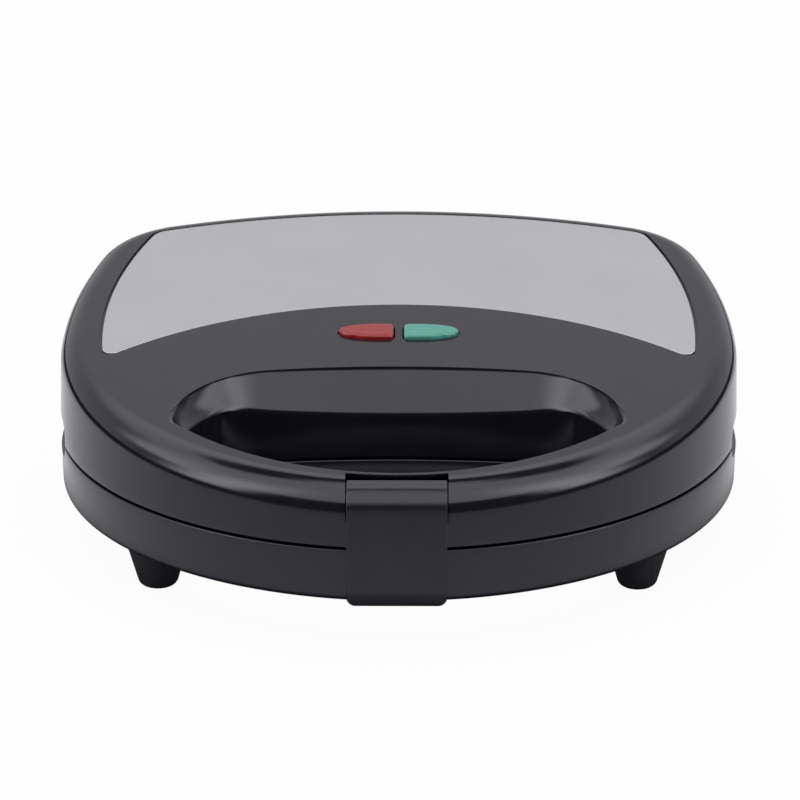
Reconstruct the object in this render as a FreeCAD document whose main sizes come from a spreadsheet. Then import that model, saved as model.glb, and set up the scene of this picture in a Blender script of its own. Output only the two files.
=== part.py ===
"""Two-slice sandwich maker: a hinged clamshell with a steel-topped lid, a front latch and heated plates.

Millimetres, +X to the user's right, +Y to the back, +Z up. The origin is on the worktop, under the middle
of the whole appliance. Plan sizes are taken from the widest line, where the round front meets the sides.
"""
import FreeCAD
import Part
import Sketcher
import math
import os

V = FreeCAD.Vector
DOC = FreeCAD.newDocument("SandwichMaker")
SHEET = DOC.addObject("Spreadsheet::Sheet", "Sizes")

SIZES = {
    # Plan of the two shells
    "body_width": 236.0,
    "body_back": 102.0,
    "side_radius": 223.0,
    "corner_radius": 38.7,
    "rear_radius": 270.0,
    "wall": 2.6,
    "shell_draft": 1.5,
    # Heights
    "skirt_bottom": 15.4,
    "skirt_height": 18.3,
    "seam_gap": 1.0,
    "lid_front_height": 20.4,
    "top_slope": 6.8,
    "top_roll": 8.3,
    "skirt_roll": 2.2,
    "rim_round": 1.2,
    # Pan under the middle of the base, which makes room for the heater
    "pan_side_margin": 56.0,
    "pan_front_margin": 11.8,
    "pan_rear_margin": 22.0,
    "pan_depth": 8.0,
    "pan_corner": 14.0,
    "pan_roll": 3.0,
    # Hand opening behind the front bar
    "grip_rear": 30.4,
    "front_bar": 11.5,
    "grip_shoulder": 42.3,
    "grip_rear_radius": 326.0,
    "grip_end_radius": 37.0,
    "grip_tip_radius": 15.0,
    "grip_front_inset": 21.0,
    "grip_inset": 6.0,
    "grip_waist": 15.9,
    # Vents where the side walls meet
    "vent_length": 46.0,
    "vent_height": 13.0,
    "vent_rise": 1.2,
    "vent_ahead": 10.0,
    "vent_reach": 8.0,
    # Cooking plates
    "plate_inset": 4.0,
    "plate_clear": 4.0,
    "plate_corner": 10.0,
    "plate_sink": 0.2,
    "plate_rim": 3.0,
    "plate_wall": 2.4,
    "cell_inner": 8.4,
    "cell_side_margin": 18.0,
    "cell_front_margin": 5.8,
    "cell_rear_margin": 22.0,
    "cell_round": 24.0,
    "pocket_round": 8.0,
    "pocket_depth": 10.0,
    "pocket_draft": 20.0,
    "pocket_floor_round": 2.0,
    "ridge_width": 6.0,
    "lug_radius": 4.2,
    "lug_height": 4.0,
    "lug_middle": 28.0,
    "lug_rear_margin": 17.0,
    "lug_spread": 30.0,
    # Screws from the shells into the plates
    "screw_radius": 1.5,
    "screw_head_radius": 3.0,
    "screw_head_height": 2.0,
    "screw_length": 12.0,
    "screw_clear": 0.3,
    "boss_radius": 5.0,
    "boss_floor": 3.0,
    # Heaters
    "heater_radius": 3.2,
    "heater_side_margin": 12.0,
    "heater_front_margin": 14.0,
    "heater_rear_margin": 20.0,
    "heater_bend": 18.0,
    "cold_pin_radius": 1.6,
    "cold_pin_length": 10.0,
    # Reflectors
    "reflector_sheet": 0.5,
    "reflector_lip": 1.2,
    "reflector_side_reach": 6.0,
    "reflector_front_reach": 6.0,
    "reflector_rear_reach": 4.0,
    "reflector_corner": 8.0,
    "reflector_hole": 6.0,
    "post_radius": 3.0,
    "post_side_inset": 12.0,
    "post_front_inset": 10.0,
    "post_rear_inset": 6.0,
    # Feet
    "foot_side_inset": 36.9,
    "foot_front_inset": 52.5,
    "rear_foot_side_inset": 40.0,
    "foot_rear_inset": 36.0,
    "foot_low_radius": 6.2,
    "foot_high_radius": 10.8,
    "foot_round": 3.0,
    "foot_peg_radius": 3.0,
    "foot_peg_head": 4.2,
    "foot_peg_height": 4.2,
    "foot_peg_clear": 0.2,
    # Hinges
    "hinge_x": 46.0,
    "hinge_behind": 5.0,
    "knuckle_radius": 4.8,
    "knuckle_width": 9.4,
    "ear_width": 3.6,
    "ear_gap": 0.3,
    "ear_drop": 12.0,
    "ear_root": 6.2,
    "hinge_pin_radius": 2.0,
    "pin_clear": 0.06,
    "pin_seat_clear": 0.02,
    # Latch
    "latch_half_width": 16.4,
    "latch_gap": 0.4,
    "latch_proud": 2.8,
    "latch_sheet": 3.4,
    "latch_drop": 0.4,
    "latch_crease_rise": 5.0,
    "latch_tuck": 1.4,
    "latch_corner": 3.0,
    "latch_roll": 8.6,
    "latch_rise": 0.6,
    "latch_depth": 11.0,
    "latch_throat_drop": 7.8,
    "latch_heel_drop": 11.7,
    "latch_pin_in": 8.2,
    "latch_pin_drop": 5.2,
    "latch_pin_radius": 1.5,
    "latch_pin_grip": 2.2,
    "latch_clear": 0.5,
    "notch_rim_wall": 1.4,
    "notch_drop": 12.2,
    "hook_half_width": 7.0,
    "hook_rise": 6.5,
    "hook_height": 3.0,
    "hook_reach": 1.8,
    # Steel plate let into the lid's top
    "steel_front": 17.4,
    "steel_front_radius": 143.0,
    "steel_side_inset": 15.3,
    "steel_rear_inset": 10.2,
    "steel_front_corner": 3.5,
    "steel_rear_corner": 8.0,
    "steel_thickness": 0.8,
    "steel_recess": 0.8,
    "steel_gap": 0.5,
    "steel_round": 0.4,
    # Lamp lenses, lamps and their holder
    "lens_space": 3.5,
    "lens_length": 19.0,
    "lens_straight": 5.0,
    "lens_half_width": 5.3,
    "lens_ahead": 6.2,
    "lens_rise": 1.6,
    "lens_round": 1.2,
    "lens_corner": 1.6,
    "lens_clear": 0.2,
    "lens_stem": 1.2,
    "holder_half_width": 26.0,
    "holder_half_depth": 8.5,
    "holder_height": 7.0,
    "holder_wall": 1.4,
    "holder_corner": 3.0,
    "lamp_radius": 2.0,
    "lamp_length": 13.0,
    # Thermostat and thermal fuse on the upper plate
    "control_y": 34.0,
    "control_clear": 1.5,
    "thermostat_radius": 7.0,
    "thermostat_height": 8.0,
    "thermostat_flange": 12.0,
    "thermostat_sheet": 0.8,
    "blade_width": 4.0,
    "blade_sheet": 0.8,
    "blade_height": 6.0,
    "blade_offset": 3.6,
    "fuse_radius": 2.0,
    "fuse_length": 11.0,
    "fuse_lead_radius": 0.5,
    "fuse_lead_length": 5.0,
    "clip_width": 5.0,
    "clip_sheet": 0.6,
    "clip_ear": 5.0,
    # Terminal block and cord gland
    "block_half_width": 14.0,
    "block_depth": 9.6,
    "block_height": 8.6,
    "block_clear": 0.2,
    "block_hole_radius": 1.8,
    "block_pitch": 9.0,
    "block_round": 1.2,
    "gland_drop": 9.3,
    "gland_bore": 3.0,
    "gland_sleeve": 4.2,
    "gland_flange": 5.6,
    "gland_flange_sheet": 2.0,
    "gland_inner_sheet": 2.0,
    "gland_seat": 1.0,
    "gland_round": 0.8,
    # How far every cutting tool runs past what it cuts
    "overrun": 2.0,
}


class Size:
    """A length or angle with its number and the sheet formula that gives it."""

    def __init__(self, value, text):
        self.value = value
        self.text = text

    def _join(self, other, sign, value):
        return Size(value, "(%s%s%s)" % (self.text, sign, other.text))

    def __add__(self, other):
        other = as_size(other)
        return self._join(other, "+", self.value + other.value)

    def __sub__(self, other):
        other = as_size(other)
        return self._join(other, "-", self.value - other.value)

    def __mul__(self, other):
        other = as_size(other)
        return self._join(other, "*", self.value * other.value)

    def __truediv__(self, other):
        other = as_size(other)
        return self._join(other, "/", self.value / other.value)

    def __neg__(self):
        return Size(-self.value, "(0-%s)" % self.text)


def as_size(number):
    """A plain share or zero as a Size, so that it can stand in a formula."""
    return number if isinstance(number, Size) else Size(float(number), repr(float(number)))


def slope(angle):
    """The tangent of an angle in degrees."""
    return Size(math.tan(math.radians(angle.value)), "tan(%s)" % angle.text)


class Names:
    """The sheet's sizes as attributes."""


def fill_sheet():
    """Write every size to the sheet under its own alias and hand the sizes back."""
    names = Names()
    for row, (alias, value) in enumerate(SIZES.items(), start=1):
        SHEET.set("A%d" % row, alias)
        SHEET.set("B%d" % row, str(value))
        SHEET.setAlias("B%d" % row, alias)
        setattr(names, alias, Size(value, "Sizes." + alias))
    DOC.recompute()
    return names


S = fill_sheet()
ZERO = as_size(0)
PARTS = []

# Levels and places that several pieces share
HALF = S.body_width / 2
RIM_Z = S.skirt_bottom + S.skirt_height
LID_Z = RIM_Z + S.seam_gap
SEAM_Z = RIM_Z + S.seam_gap / 2
TOP_RISE = slope(S.top_slope)
TOP_Z = LID_Z + S.lid_front_height + TOP_RISE * HALF
HINGE_REACH = S.body_back + S.hinge_behind
LOWER_FACE_Z = RIM_Z - S.plate_sink
UPPER_FACE_Z = LID_Z + S.plate_sink
POCKET_BACK = S.pocket_depth + S.plate_wall
HEATER_BACK = POCKET_BACK + S.heater_radius * 2
PARTITION = S.grip_rear - S.wall
PLATE_FRONT = PARTITION - S.plate_clear

# Hand opening and latch, tied to the front of the shells
GRIP_FRONT = HALF - S.front_bar
GRIP_HALF = HALF - S.grip_shoulder
GRIP_FRONT_RADIUS = HALF - S.grip_front_inset
LATCH_FRONT = HALF + S.latch_proud
LATCH_BACK = LATCH_FRONT - S.latch_depth
LATCH_PIN_Y = LATCH_FRONT - S.latch_pin_in
LATCH_TOP = LID_Z + S.lid_front_height + S.latch_rise
LATCH_PIN_Z = LATCH_TOP - S.latch_pin_drop
LATCH_THROAT = LATCH_TOP - S.latch_throat_drop
LATCH_HEEL = LATCH_TOP - S.latch_heel_drop
NOTCH_FLOOR = LATCH_TOP - S.notch_drop
LATCH_BOTTOM = S.skirt_bottom - S.latch_drop
LATCH_CREASE = S.skirt_bottom + S.latch_crease_rise
HOOK_LOW = S.skirt_bottom + S.hook_rise
WIDE_Y = (LATCH_FRONT - HINGE_REACH - S.knuckle_radius) / 2
HINGE_Y = WIDE_Y + HINGE_REACH

# Pan, heater, reflector and plate cells, each tied to what it lies in
PAN_HALF = HALF - S.pan_side_margin
PAN_FRONT = PARTITION - S.pan_front_margin
PAN_REAR = S.body_back - S.pan_rear_margin
HEATER_HALF = PAN_HALF - S.heater_side_margin
HEATER_FRONT = PAN_FRONT - S.heater_front_margin
HEATER_REAR = PAN_REAR - S.heater_rear_margin
CONTROL_X = HEATER_HALF / 2
REFLECTOR_HALF = HEATER_HALF + S.reflector_side_reach
REFLECTOR_FRONT = HEATER_FRONT + S.reflector_front_reach
REFLECTOR_REAR = HEATER_REAR + S.reflector_rear_reach
POST_X = HEATER_HALF - S.post_side_inset
POST_FRONT = S.post_front_inset - HEATER_FRONT
POST_REAR = HEATER_REAR - S.post_rear_inset
CELL_OUTER = HALF - S.cell_side_margin
CELL_FRONT = PLATE_FRONT - S.cell_front_margin
CELL_REAR = S.body_back - S.cell_rear_margin
LUG_REAR = S.body_back - S.lug_rear_margin
BLOCK_REAR = PAN_REAR - S.wall - S.pan_roll - S.block_clear
GLAND_Z = RIM_Z - S.gland_drop

# Feet, tied to the edge of the base
FOOT_X = HALF - S.foot_side_inset
REAR_FOOT_X = HALF - S.rear_foot_side_inset
FOOT_FRONT = HALF - S.foot_front_inset
FOOT_REAR = S.body_back - S.foot_rear_inset

LUG_PLACES = [(ZERO, S.lug_middle), (S.lug_spread, LUG_REAR), (-S.lug_spread, LUG_REAR)]
POST_PLACES = [(side, along) for side in (POST_X, -POST_X) for along in (POST_FRONT, POST_REAR)]


def top_height(along):
    """Height of the lid's sloping top at a distance behind the widest line."""
    return TOP_Z + TOP_RISE * along


def bind(item, **formulas):
    """Bind properties of an object to sheet formulas; double underscores stand for dots."""
    for name, size in formulas.items():
        item.setExpression(name.replace("__", "."), as_size(size).text)


def place(item, x=ZERO, y=ZERO, z=ZERO, turn=None):
    """Put an object at a bound place, turned first if a rotation is given."""
    item.Placement = FreeCAD.Placement(V(), turn or FreeCAD.Rotation())
    bind(item, Placement__Base__x=x, Placement__Base__y=y, Placement__Base__z=z)
    return item


ALONG_X = FreeCAD.Rotation(V(0, 1, 0), 90)
ALONG_Y = FreeCAD.Rotation(V(1, 0, 0), -90)
UPSIDE_DOWN = FreeCAD.Rotation(V(0, 1, 0), 180)
TILTED = FreeCAD.Rotation(V(1, 0, 0), S.top_slope.value)


def cylinder(name, radius, height, x, y, z, turn=None):
    """A bound cylinder whose axis starts at the given place."""
    item = DOC.addObject("Part::Cylinder", name)
    bind(item, Radius=radius, Height=height)
    return place(item, x, y, z, turn)


def box(name, low, high):
    """A bound box between two corners."""
    item = DOC.addObject("Part::Box", name)
    bind(item, Length=high[0] - low[0], Width=high[1] - low[1], Height=high[2] - low[2])
    return place(item, *low)


def fuse(name, pieces):
    """One solid out of several."""
    item = DOC.addObject("Part::MultiFuse", name)
    item.Shapes = pieces
    item.Refine = True
    return item


def cut(name, base, tool):
    """One solid with another taken out of it."""
    item = DOC.addObject("Part::Cut", name)
    item.Base = base
    item.Tool = tool
    item.Refine = True
    return item


def carve(name, base, tools):
    """A solid with several tools taken out one after another, each of which has to remove something."""
    DOC.recompute()
    for tool in tools:
        item = cut(name, base, tool)
        DOC.recompute()
        if item.Shape.Volume >= base.Shape.Volume:
            raise RuntimeError("%s removes nothing from %s" % (tool.Name, base.Name))
        base = item
    return base


def sub_part(item, label):
    """Name an object as one physical piece of the appliance."""
    item.Label = label
    PARTS.append(item)
    return item


def body(name):
    """An empty solid body."""
    return DOC.addObject("PartDesign::Body", name)


def sketch(owner, name, plane="XY_Plane", lift=ZERO, tilt=None):
    """A sketch on one of its body's own planes, lifted along the plane's normal and tilted about X."""
    item = owner.newObject("Sketcher::SketchObject", name)
    support = [feature for feature in owner.Origin.OriginFeatures if feature.Role == plane]
    item.AttachmentSupport = [(support[0], "")]
    item.MapMode = "FlatFace"
    item.AttachmentOffset = FreeCAD.Placement(V(), tilt or FreeCAD.Rotation())
    bind(item, AttachmentOffset__Base__z=lift)
    return item


def pad(owner, profile, length, name, down=False, both=False, draft=None):
    """A pad of a sketch, up or down, with walls that lean in by a draft angle."""
    item = owner.newObject("PartDesign::Pad", name)
    item.Profile = profile
    bind(item, Length=length)
    item.Reversed = down
    item.Midplane = both
    if draft:
        bind(item, TaperAngle=-draft)
    DOC.recompute()
    return item


def pocket(owner, profile, length, name, draft=None):
    """A pocket below a sketch on the XY plane, with walls that lean in by a draft angle."""
    before = owner.Shape.Volume
    item = owner.newObject("PartDesign::Pocket", name)
    item.Profile = profile
    bind(item, Length=length)
    if draft:
        bind(item, TaperAngle=-draft)
    DOC.recompute()
    if owner.Shape.Volume >= before:
        raise RuntimeError("pocket %s cuts nothing" % name)
    return item


def fillet(owner, radius, name, names):
    """Round named edges or faces of the body's last feature."""
    base = owner.Tip
    item = owner.newObject("PartDesign::Fillet", name)
    item.Base = (base, names)
    bind(item, Radius=radius)
    DOC.recompute()
    return item


def edges_where(shape, test):
    """Names of the edges that pass a test."""
    return ["Edge%d" % (at + 1) for at, edge in enumerate(shape.Edges) if test(edge)]


def faces_where(shape, test):
    """Names of the faces that pass a test."""
    return ["Face%d" % (at + 1) for at, face in enumerate(shape.Faces) if test(face)]


def upright_edge(edge):
    """True for an edge that runs straight along Z."""
    ends = [vertex.Point for vertex in edge.Vertexes]
    return len(ends) == 2 and abs((ends[1] - ends[0]).normalize().z) > 1 - Precision.share


class Precision:
    """How closely two places agree when edges and faces are picked."""

    share = 1e-6
    length = SIZES["overrun"] / 1000


def level_face(height):
    """A test for flat faces at one height in the body's own frame."""
    def test(face):
        bounds = face.BoundBox
        return bounds.ZLength < Precision.length and abs(bounds.ZMin - height.value) < Precision.length
    return test


# Outlines

def draw(item, edges, smooth):
    """Add a closed run of edges to a sketch, joined end to end, and give their numbers back."""
    first = item.GeometryCount
    item.addGeometry(edges, False)
    count = len(edges)
    kind = "Tangent" if smooth else "Coincident"
    joins = []
    for at in range(count):
        joins.append(Sketcher.Constraint(kind, first + at, 2, first + (at + 1) % count, 1))
    item.addConstraint(joins)
    return [first + at for at in range(count)]


def measure(item, kind, size, *places):
    """A dimension of a sketch, bound to the sheet."""
    number = item.addConstraint(Sketcher.Constraint(kind, *places, size.value))
    item.setExpression("Constraints[%d]" % number, size.text)


def polygon(item, points):
    """A closed outline of straight lines through bound points."""
    corners = [V(x.value, y.value, 0) for x, y in points]
    lines = [Part.LineSegment(at, to) for at, to in zip(corners, corners[1:] + corners[:1])]
    for line, (x, y) in zip(draw(item, lines, smooth=False), points):
        measure(item, "DistanceX", x, -1, 1, line, 1)
        measure(item, "DistanceY", y, -1, 1, line, 1)


def rectangle(item, low, high):
    """A closed rectangle between two bound corners."""
    polygon(item, [low, (high[0], low[1]), high, (low[0], high[1])])


def circle(item, x, y, radius):
    """A circle with a bound centre and radius."""
    number = item.addGeometry(Part.Circle(V(x.value, y.value, 0), V(0, 0, 1), radius.value), False)
    measure(item, "Radius", radius, number)
    measure(item, "DistanceX", x, -1, 1, number, 3)
    measure(item, "DistanceY", y, -1, 1, number, 3)


def arc(centre, radius, start, end):
    """An arc from one angle to another, anticlockwise."""
    return Part.ArcOfCircle(Part.Circle(centre, V(0, 0, 1), radius), start, end)


def heading(start, end):
    """Angle of the way from one point to another."""
    way = end - start
    return math.atan2(way.y, way.x)


def mirrored(point):
    """The same place on the left half."""
    return V(-point.x, point.y, 0)


def meeting(one, one_radius, two, two_radius, pick):
    """The point where two circles cross, the one for which pick is greatest."""
    way = two - one
    along = (one_radius ** 2 - two_radius ** 2 + way.Length ** 2) / (2 * way.Length)
    aside = math.sqrt(one_radius ** 2 - along ** 2)
    ahead = V(way).normalize()
    across = V(-ahead.y, ahead.x, 0)
    middle = one + ahead * along
    return max((middle + across * aside, middle - across * aside), key=pick)


def shell_outline(item, inset):
    """Plan of the shells: a half circle in front, two side arcs, two corner arcs and a rear arc."""
    side_centre = V(HALF.value - S.side_radius.value, 0, 0)
    rear_centre = V(0, S.body_back.value - S.rear_radius.value, 0)
    corner_centre = meeting(side_centre, S.side_radius.value - S.corner_radius.value,
                            rear_centre, S.rear_radius.value - S.corner_radius.value, lambda p: p.x + p.y)
    radii = [HALF - inset, S.side_radius - inset, S.corner_radius - inset, S.rear_radius - inset]
    front, side, corner, rear = [radius.value for radius in radii]
    turn = heading(side_centre, corner_centre)
    lean = heading(rear_centre, corner_centre)
    edges = [
        arc(V(), front, math.pi, 2 * math.pi),
        arc(side_centre, side, 0, turn),
        arc(corner_centre, corner, turn, lean),
        arc(rear_centre, rear, lean, math.pi - lean),
        arc(mirrored(corner_centre), corner, math.pi - lean, math.pi - turn),
        arc(mirrored(side_centre), side, math.pi - turn, math.pi),
    ]
    numbers = draw(item, edges, smooth=True)
    item.addConstraint(Sketcher.Constraint("Coincident", numbers[0], 3, -1, 1))
    for number in (numbers[1], numbers[5]):
        item.addConstraint(Sketcher.Constraint("PointOnObject", number, 3, -1))
    item.addConstraint(Sketcher.Constraint("PointOnObject", numbers[3], 3, -2))
    for number, radius in zip(numbers, radii + [radii[2], radii[1]]):
        measure(item, "Radius", radius, number)
    measure(item, "DistanceY", S.rear_radius - S.body_back, numbers[3], 3, -1, 1)


def grip_outline(item, inset):
    """Plan of the hand opening: a flat rear arc, two round ends with tighter tips, and a front arc."""
    rear_centre = V(0, -S.grip_rear.value - S.grip_rear_radius.value, 0)
    front_centre = V(0, GRIP_FRONT_RADIUS.value - GRIP_FRONT.value, 0)
    end_x = GRIP_HALF - S.grip_end_radius
    end_reach = S.grip_rear_radius.value - S.grip_end_radius.value
    end_centre = V(end_x.value, rear_centre.y + math.sqrt(end_reach ** 2 - end_x.value ** 2), 0)
    tip_centre = meeting(end_centre, S.grip_end_radius.value - S.grip_tip_radius.value,
                         front_centre, GRIP_FRONT_RADIUS.value - S.grip_tip_radius.value, lambda p: p.x)
    radii = [radius - inset for radius in
             (GRIP_FRONT_RADIUS, S.grip_tip_radius, S.grip_end_radius, S.grip_rear_radius)]
    front, tip, end, rear = [radius.value for radius in radii]
    low = heading(front_centre, tip_centre)
    mid = heading(end_centre, tip_centre)
    high = heading(rear_centre, end_centre)
    edges = [
        arc(front_centre, front, -math.pi - low, low),
        arc(tip_centre, tip, low, mid),
        arc(end_centre, end, mid, high),
        arc(rear_centre, rear, high, math.pi - high),
        arc(mirrored(end_centre), end, math.pi - high, math.pi - mid),
        arc(mirrored(tip_centre), tip, math.pi - mid, math.pi - low),
    ]
    numbers = draw(item, edges, smooth=True)
    for number in (numbers[0], numbers[3]):
        item.addConstraint(Sketcher.Constraint("PointOnObject", number, 3, -2))
    for number, radius in zip(numbers, radii + [radii[2], radii[1]]):
        measure(item, "Radius", radius, number)
    measure(item, "DistanceY", S.grip_rear_radius + S.grip_rear, numbers[3], 3, -1, 1)
    measure(item, "DistanceY", GRIP_FRONT_RADIUS - GRIP_FRONT, -1, 1, numbers[0], 3)
    measure(item, "DistanceX", end_x, -1, 1, numbers[2], 3)
    measure(item, "DistanceX", end_x, numbers[4], 3, -1, 1)


def steel_outline(item, grow):
    """Plan of the steel plate: an arched front, and sides and back that follow the lid."""
    front_radius = S.steel_front_radius - grow
    side_radius = S.side_radius - S.steel_side_inset + grow
    rear_radius = S.rear_radius - S.steel_rear_inset + grow
    front_centre = V(0, S.steel_front.value - S.steel_front_radius.value, 0)
    side_x = S.side_radius - HALF
    side_centre = V(-side_x.value, 0, 0)
    rear_centre = V(0, S.body_back.value - S.rear_radius.value, 0)
    low = meeting(side_centre, side_radius.value, front_centre, front_radius.value, lambda p: p.x)
    high = meeting(side_centre, side_radius.value, rear_centre, rear_radius.value, lambda p: p.y)
    edges = [
        arc(front_centre, front_radius.value, heading(front_centre, low),
            heading(front_centre, mirrored(low))),
        arc(side_centre, side_radius.value, heading(side_centre, low), heading(side_centre, high)),
        arc(rear_centre, rear_radius.value, heading(rear_centre, high),
            heading(rear_centre, mirrored(high))),
        arc(mirrored(side_centre), side_radius.value, math.pi - heading(side_centre, high),
            math.pi - heading(side_centre, low)),
    ]
    numbers = item.addGeometry(edges, False)
    front, right, rear, left = numbers
    for one, one_end, two, two_end in ((front, 1, right, 1), (right, 2, rear, 1),
                                       (rear, 2, left, 1), (left, 2, front, 2)):
        item.addConstraint(Sketcher.Constraint("Coincident", one, one_end, two, two_end))
    for number, radius in zip(numbers, (front_radius, side_radius, rear_radius, side_radius)):
        measure(item, "Radius", radius, number)
    for number, x, y in ((front, ZERO, S.steel_front - S.steel_front_radius), (right, -side_x, ZERO),
                         (rear, ZERO, S.body_back - S.rear_radius), (left, side_x, ZERO)):
        measure(item, "DistanceX", x, -1, 1, number, 3)
        measure(item, "DistanceY", y, -1, 1, number, 3)


def lens_outline(item, side, grow):
    """Plan of one lamp lens: a flat inner end, two straight edges and half an ellipse."""
    inner = S.lens_space.value / 2 - grow.value
    shoulder = S.lens_space.value / 2 + S.lens_straight.value
    half = S.lens_half_width.value + grow.value
    nose = S.lens_length.value - S.lens_straight.value + grow.value
    middle = -S.lens_ahead.value
    ellipse = Part.Ellipse(V(side * shoulder, middle, 0), nose, half)
    quarter = math.pi / 2
    start = -quarter if side > 0 else quarter
    nose_arc = Part.ArcOfEllipse(ellipse, start, start + math.pi)
    low, high = V(side * shoulder, middle - half, 0), V(side * shoulder, middle + half, 0)
    inner_low, inner_high = V(side * inner, low.y, 0), V(side * inner, high.y, 0)
    if side > 0:
        run = [Part.LineSegment(inner_low, low), nose_arc, Part.LineSegment(high, inner_high),
               Part.LineSegment(inner_high, inner_low)]
    else:
        run = [Part.LineSegment(inner_high, high), nose_arc, Part.LineSegment(low, inner_low),
               Part.LineSegment(inner_low, inner_high)]
    draw(item, run, smooth=False)


def rounded(corners, radii):
    """Edges of a closed polygon, anticlockwise, with each corner rounded by its own radius."""
    runs = []
    count = len(corners)
    for at, (corner, radius) in enumerate(zip(corners, radii)):
        back = (corners[at - 1] - corner).normalize()
        ahead = (corners[(at + 1) % count] - corner).normalize()
        half_angle = back.getAngle(ahead) / 2
        reach = radius / math.tan(half_angle)
        centre = corner + (back + ahead).normalize() * (radius / math.sin(half_angle))
        runs.append((corner + back * reach, corner + ahead * reach, centre, radius))
    edges = []
    for at, (enter, leave, centre, radius) in enumerate(runs):
        edges.append(arc(centre, radius, heading(centre, enter), heading(centre, leave)))
        edges.append(Part.LineSegment(leave, runs[(at + 1) % count][0]))
    return edges


def cell_outlines(item, grow):
    """The four triangular pockets of a plate: two in each cell, either side of its diagonal ridge."""
    inner, outer = S.cell_inner.value, CELL_OUTER.value
    front, rear = -CELL_FRONT.value, CELL_REAR.value
    diagonal = V(inner - outer, rear - front, 0).normalize()
    aside = V(diagonal.y, -diagonal.x, 0) * (S.ridge_width.value / 2)
    along_x = (S.ridge_width.value / 2) / abs(diagonal.y)
    along_y = (S.ridge_width.value / 2) / abs(diagonal.x)
    if aside.x < 0:
        raise RuntimeError("the ridge of a cell runs the wrong way")
    near = [V(inner, front, 0), V(outer - along_x, front, 0), V(inner, rear - along_y, 0)]
    far = [V(outer, front + along_y, 0), V(outer, rear, 0), V(inner + along_x, rear, 0)]
    tight = S.pocket_round + grow
    wide = S.cell_round + grow
    for corners, radii in ((near, (tight, tight, tight)), (far, (tight, wide, tight))):
        spread = grown(corners, grow.value)
        flipped = [mirrored(corner) for corner in reversed(spread)]
        for run, sizes in ((spread, radii), (flipped, radii[::-1])):
            numbers = draw(item, rounded(run, [size.value for size in sizes]), smooth=True)
            for number, size in zip(numbers[::2], sizes):
                measure(item, "Radius", size, number)


def grown(corners, distance):
    """A polygon, anticlockwise, with every side moved outwards by a distance."""
    moved = []
    for at, corner in enumerate(corners):
        back = (corner - corners[at - 1]).normalize()
        ahead = (corners[(at + 1) % len(corners)] - corner).normalize()
        one = V(back.y, -back.x, 0)
        two = V(ahead.y, -ahead.x, 0)
        moved.append(corner + (one + two) * (distance / (1 + one.dot(two))))
    return moved


# Shells

def shell_block(name, inset, drop, roll):
    """The lid as a solid block: the plan drawn up with draft, cut off by the sloping top and rolled over."""
    owner = body(name)
    plan = sketch(owner, name + "_plan")
    shell_outline(plan, inset)
    tall = top_height(S.body_back) - LID_Z + S.overrun * 2
    pad(owner, plan, tall, name + "_rise", draft=S.shell_draft)
    profile = sketch(owner, name + "_top", plane="YZ_Plane")
    reach = S.body_width
    polygon(profile, [(-reach, top_height(-reach) - LID_Z - drop), (reach, top_height(reach) - LID_Z - drop),
                      (reach, tall + reach), (-reach, tall + reach)])
    trim = owner.newObject("PartDesign::Pocket", name + "_slope")
    trim.Profile = profile
    trim.Type = "ThroughAll"
    trim.Midplane = True
    DOC.recompute()
    lean = math.cos(math.radians(S.top_slope.value))
    tops = faces_where(trim.Shape, lambda face: face.Surface.TypeId == "Part::GeomPlane"
                       and abs(face.normalAt(0, 0).z - lean) < Precision.share)
    fillet(owner, roll, name + "_roll", tops)
    return place(owner, y=WIDE_Y, z=LID_Z)


def skirt_block(name, inset, height, roll):
    """The base as a solid block: the plan drawn down with draft and rounded underneath."""
    owner = body(name)
    plan = sketch(owner, name + "_plan")
    shell_outline(plan, inset)
    pad(owner, plan, height, name + "_drop", down=True, draft=S.shell_draft)
    fillet(owner, roll, name + "_roll", faces_where(owner.Shape, level_face(-height)))
    return place(owner, y=WIDE_Y, z=RIM_Z)


def pan_block(name, inset, depth, rise):
    """The pan under the base: a rounded rectangle drawn down, open to the base above."""
    owner = body(name)
    plan = sketch(owner, name + "_plan", lift=rise)
    rectangle(plan, (inset - PAN_HALF, inset - PAN_FRONT),
              (PAN_HALF - inset, PAN_REAR - inset))
    pad(owner, plan, depth + rise, name + "_drop", down=True)
    fillet(owner, S.pan_corner - inset, name + "_corners", edges_where(owner.Shape, upright_edge))
    fillet(owner, S.pan_roll, name + "_roll", faces_where(owner.Shape, level_face(-depth)))
    return place(owner, y=WIDE_Y, z=S.skirt_bottom)


def grip_loft(name, inset):
    """The lid's hand opening, or its collar: flared from a level waist up to the sloping top, straight below it."""
    owner = body(name)
    high = sketch(owner, name + "_high", lift=TOP_Z - LID_Z, tilt=TILTED)
    grip_outline(high, inset)
    waist = sketch(owner, name + "_waist", lift=S.grip_waist)
    grip_outline(waist, inset + S.grip_inset)
    loft = owner.newObject("PartDesign::AdditiveLoft", name + "_flare")
    loft.Profile = high
    loft.Sections = [waist]
    loft.Ruled = True
    DOC.recompute()
    mouth = sketch(owner, name + "_mouth", lift=TOP_Z - LID_Z, tilt=TILTED)
    grip_outline(mouth, inset)
    pad(owner, mouth, S.overrun, name + "_rise")
    straight = sketch(owner, name + "_straight", lift=S.grip_waist)
    grip_outline(straight, inset + S.grip_inset)
    pad(owner, straight, S.grip_waist + S.overrun, name + "_drop", down=True)
    return place(owner, y=WIDE_Y, z=LID_Z)


def grip_prism(name, inset):
    """The base's hand opening, or its collar, straight down through the base."""
    owner = body(name)
    plan = sketch(owner, name + "_plan", lift=S.overrun)
    grip_outline(plan, inset + S.grip_inset)
    pad(owner, plan, S.skirt_height + S.overrun * 2, name + "_drop", down=True)
    return place(owner, y=WIDE_Y, z=RIM_Z)


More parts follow.
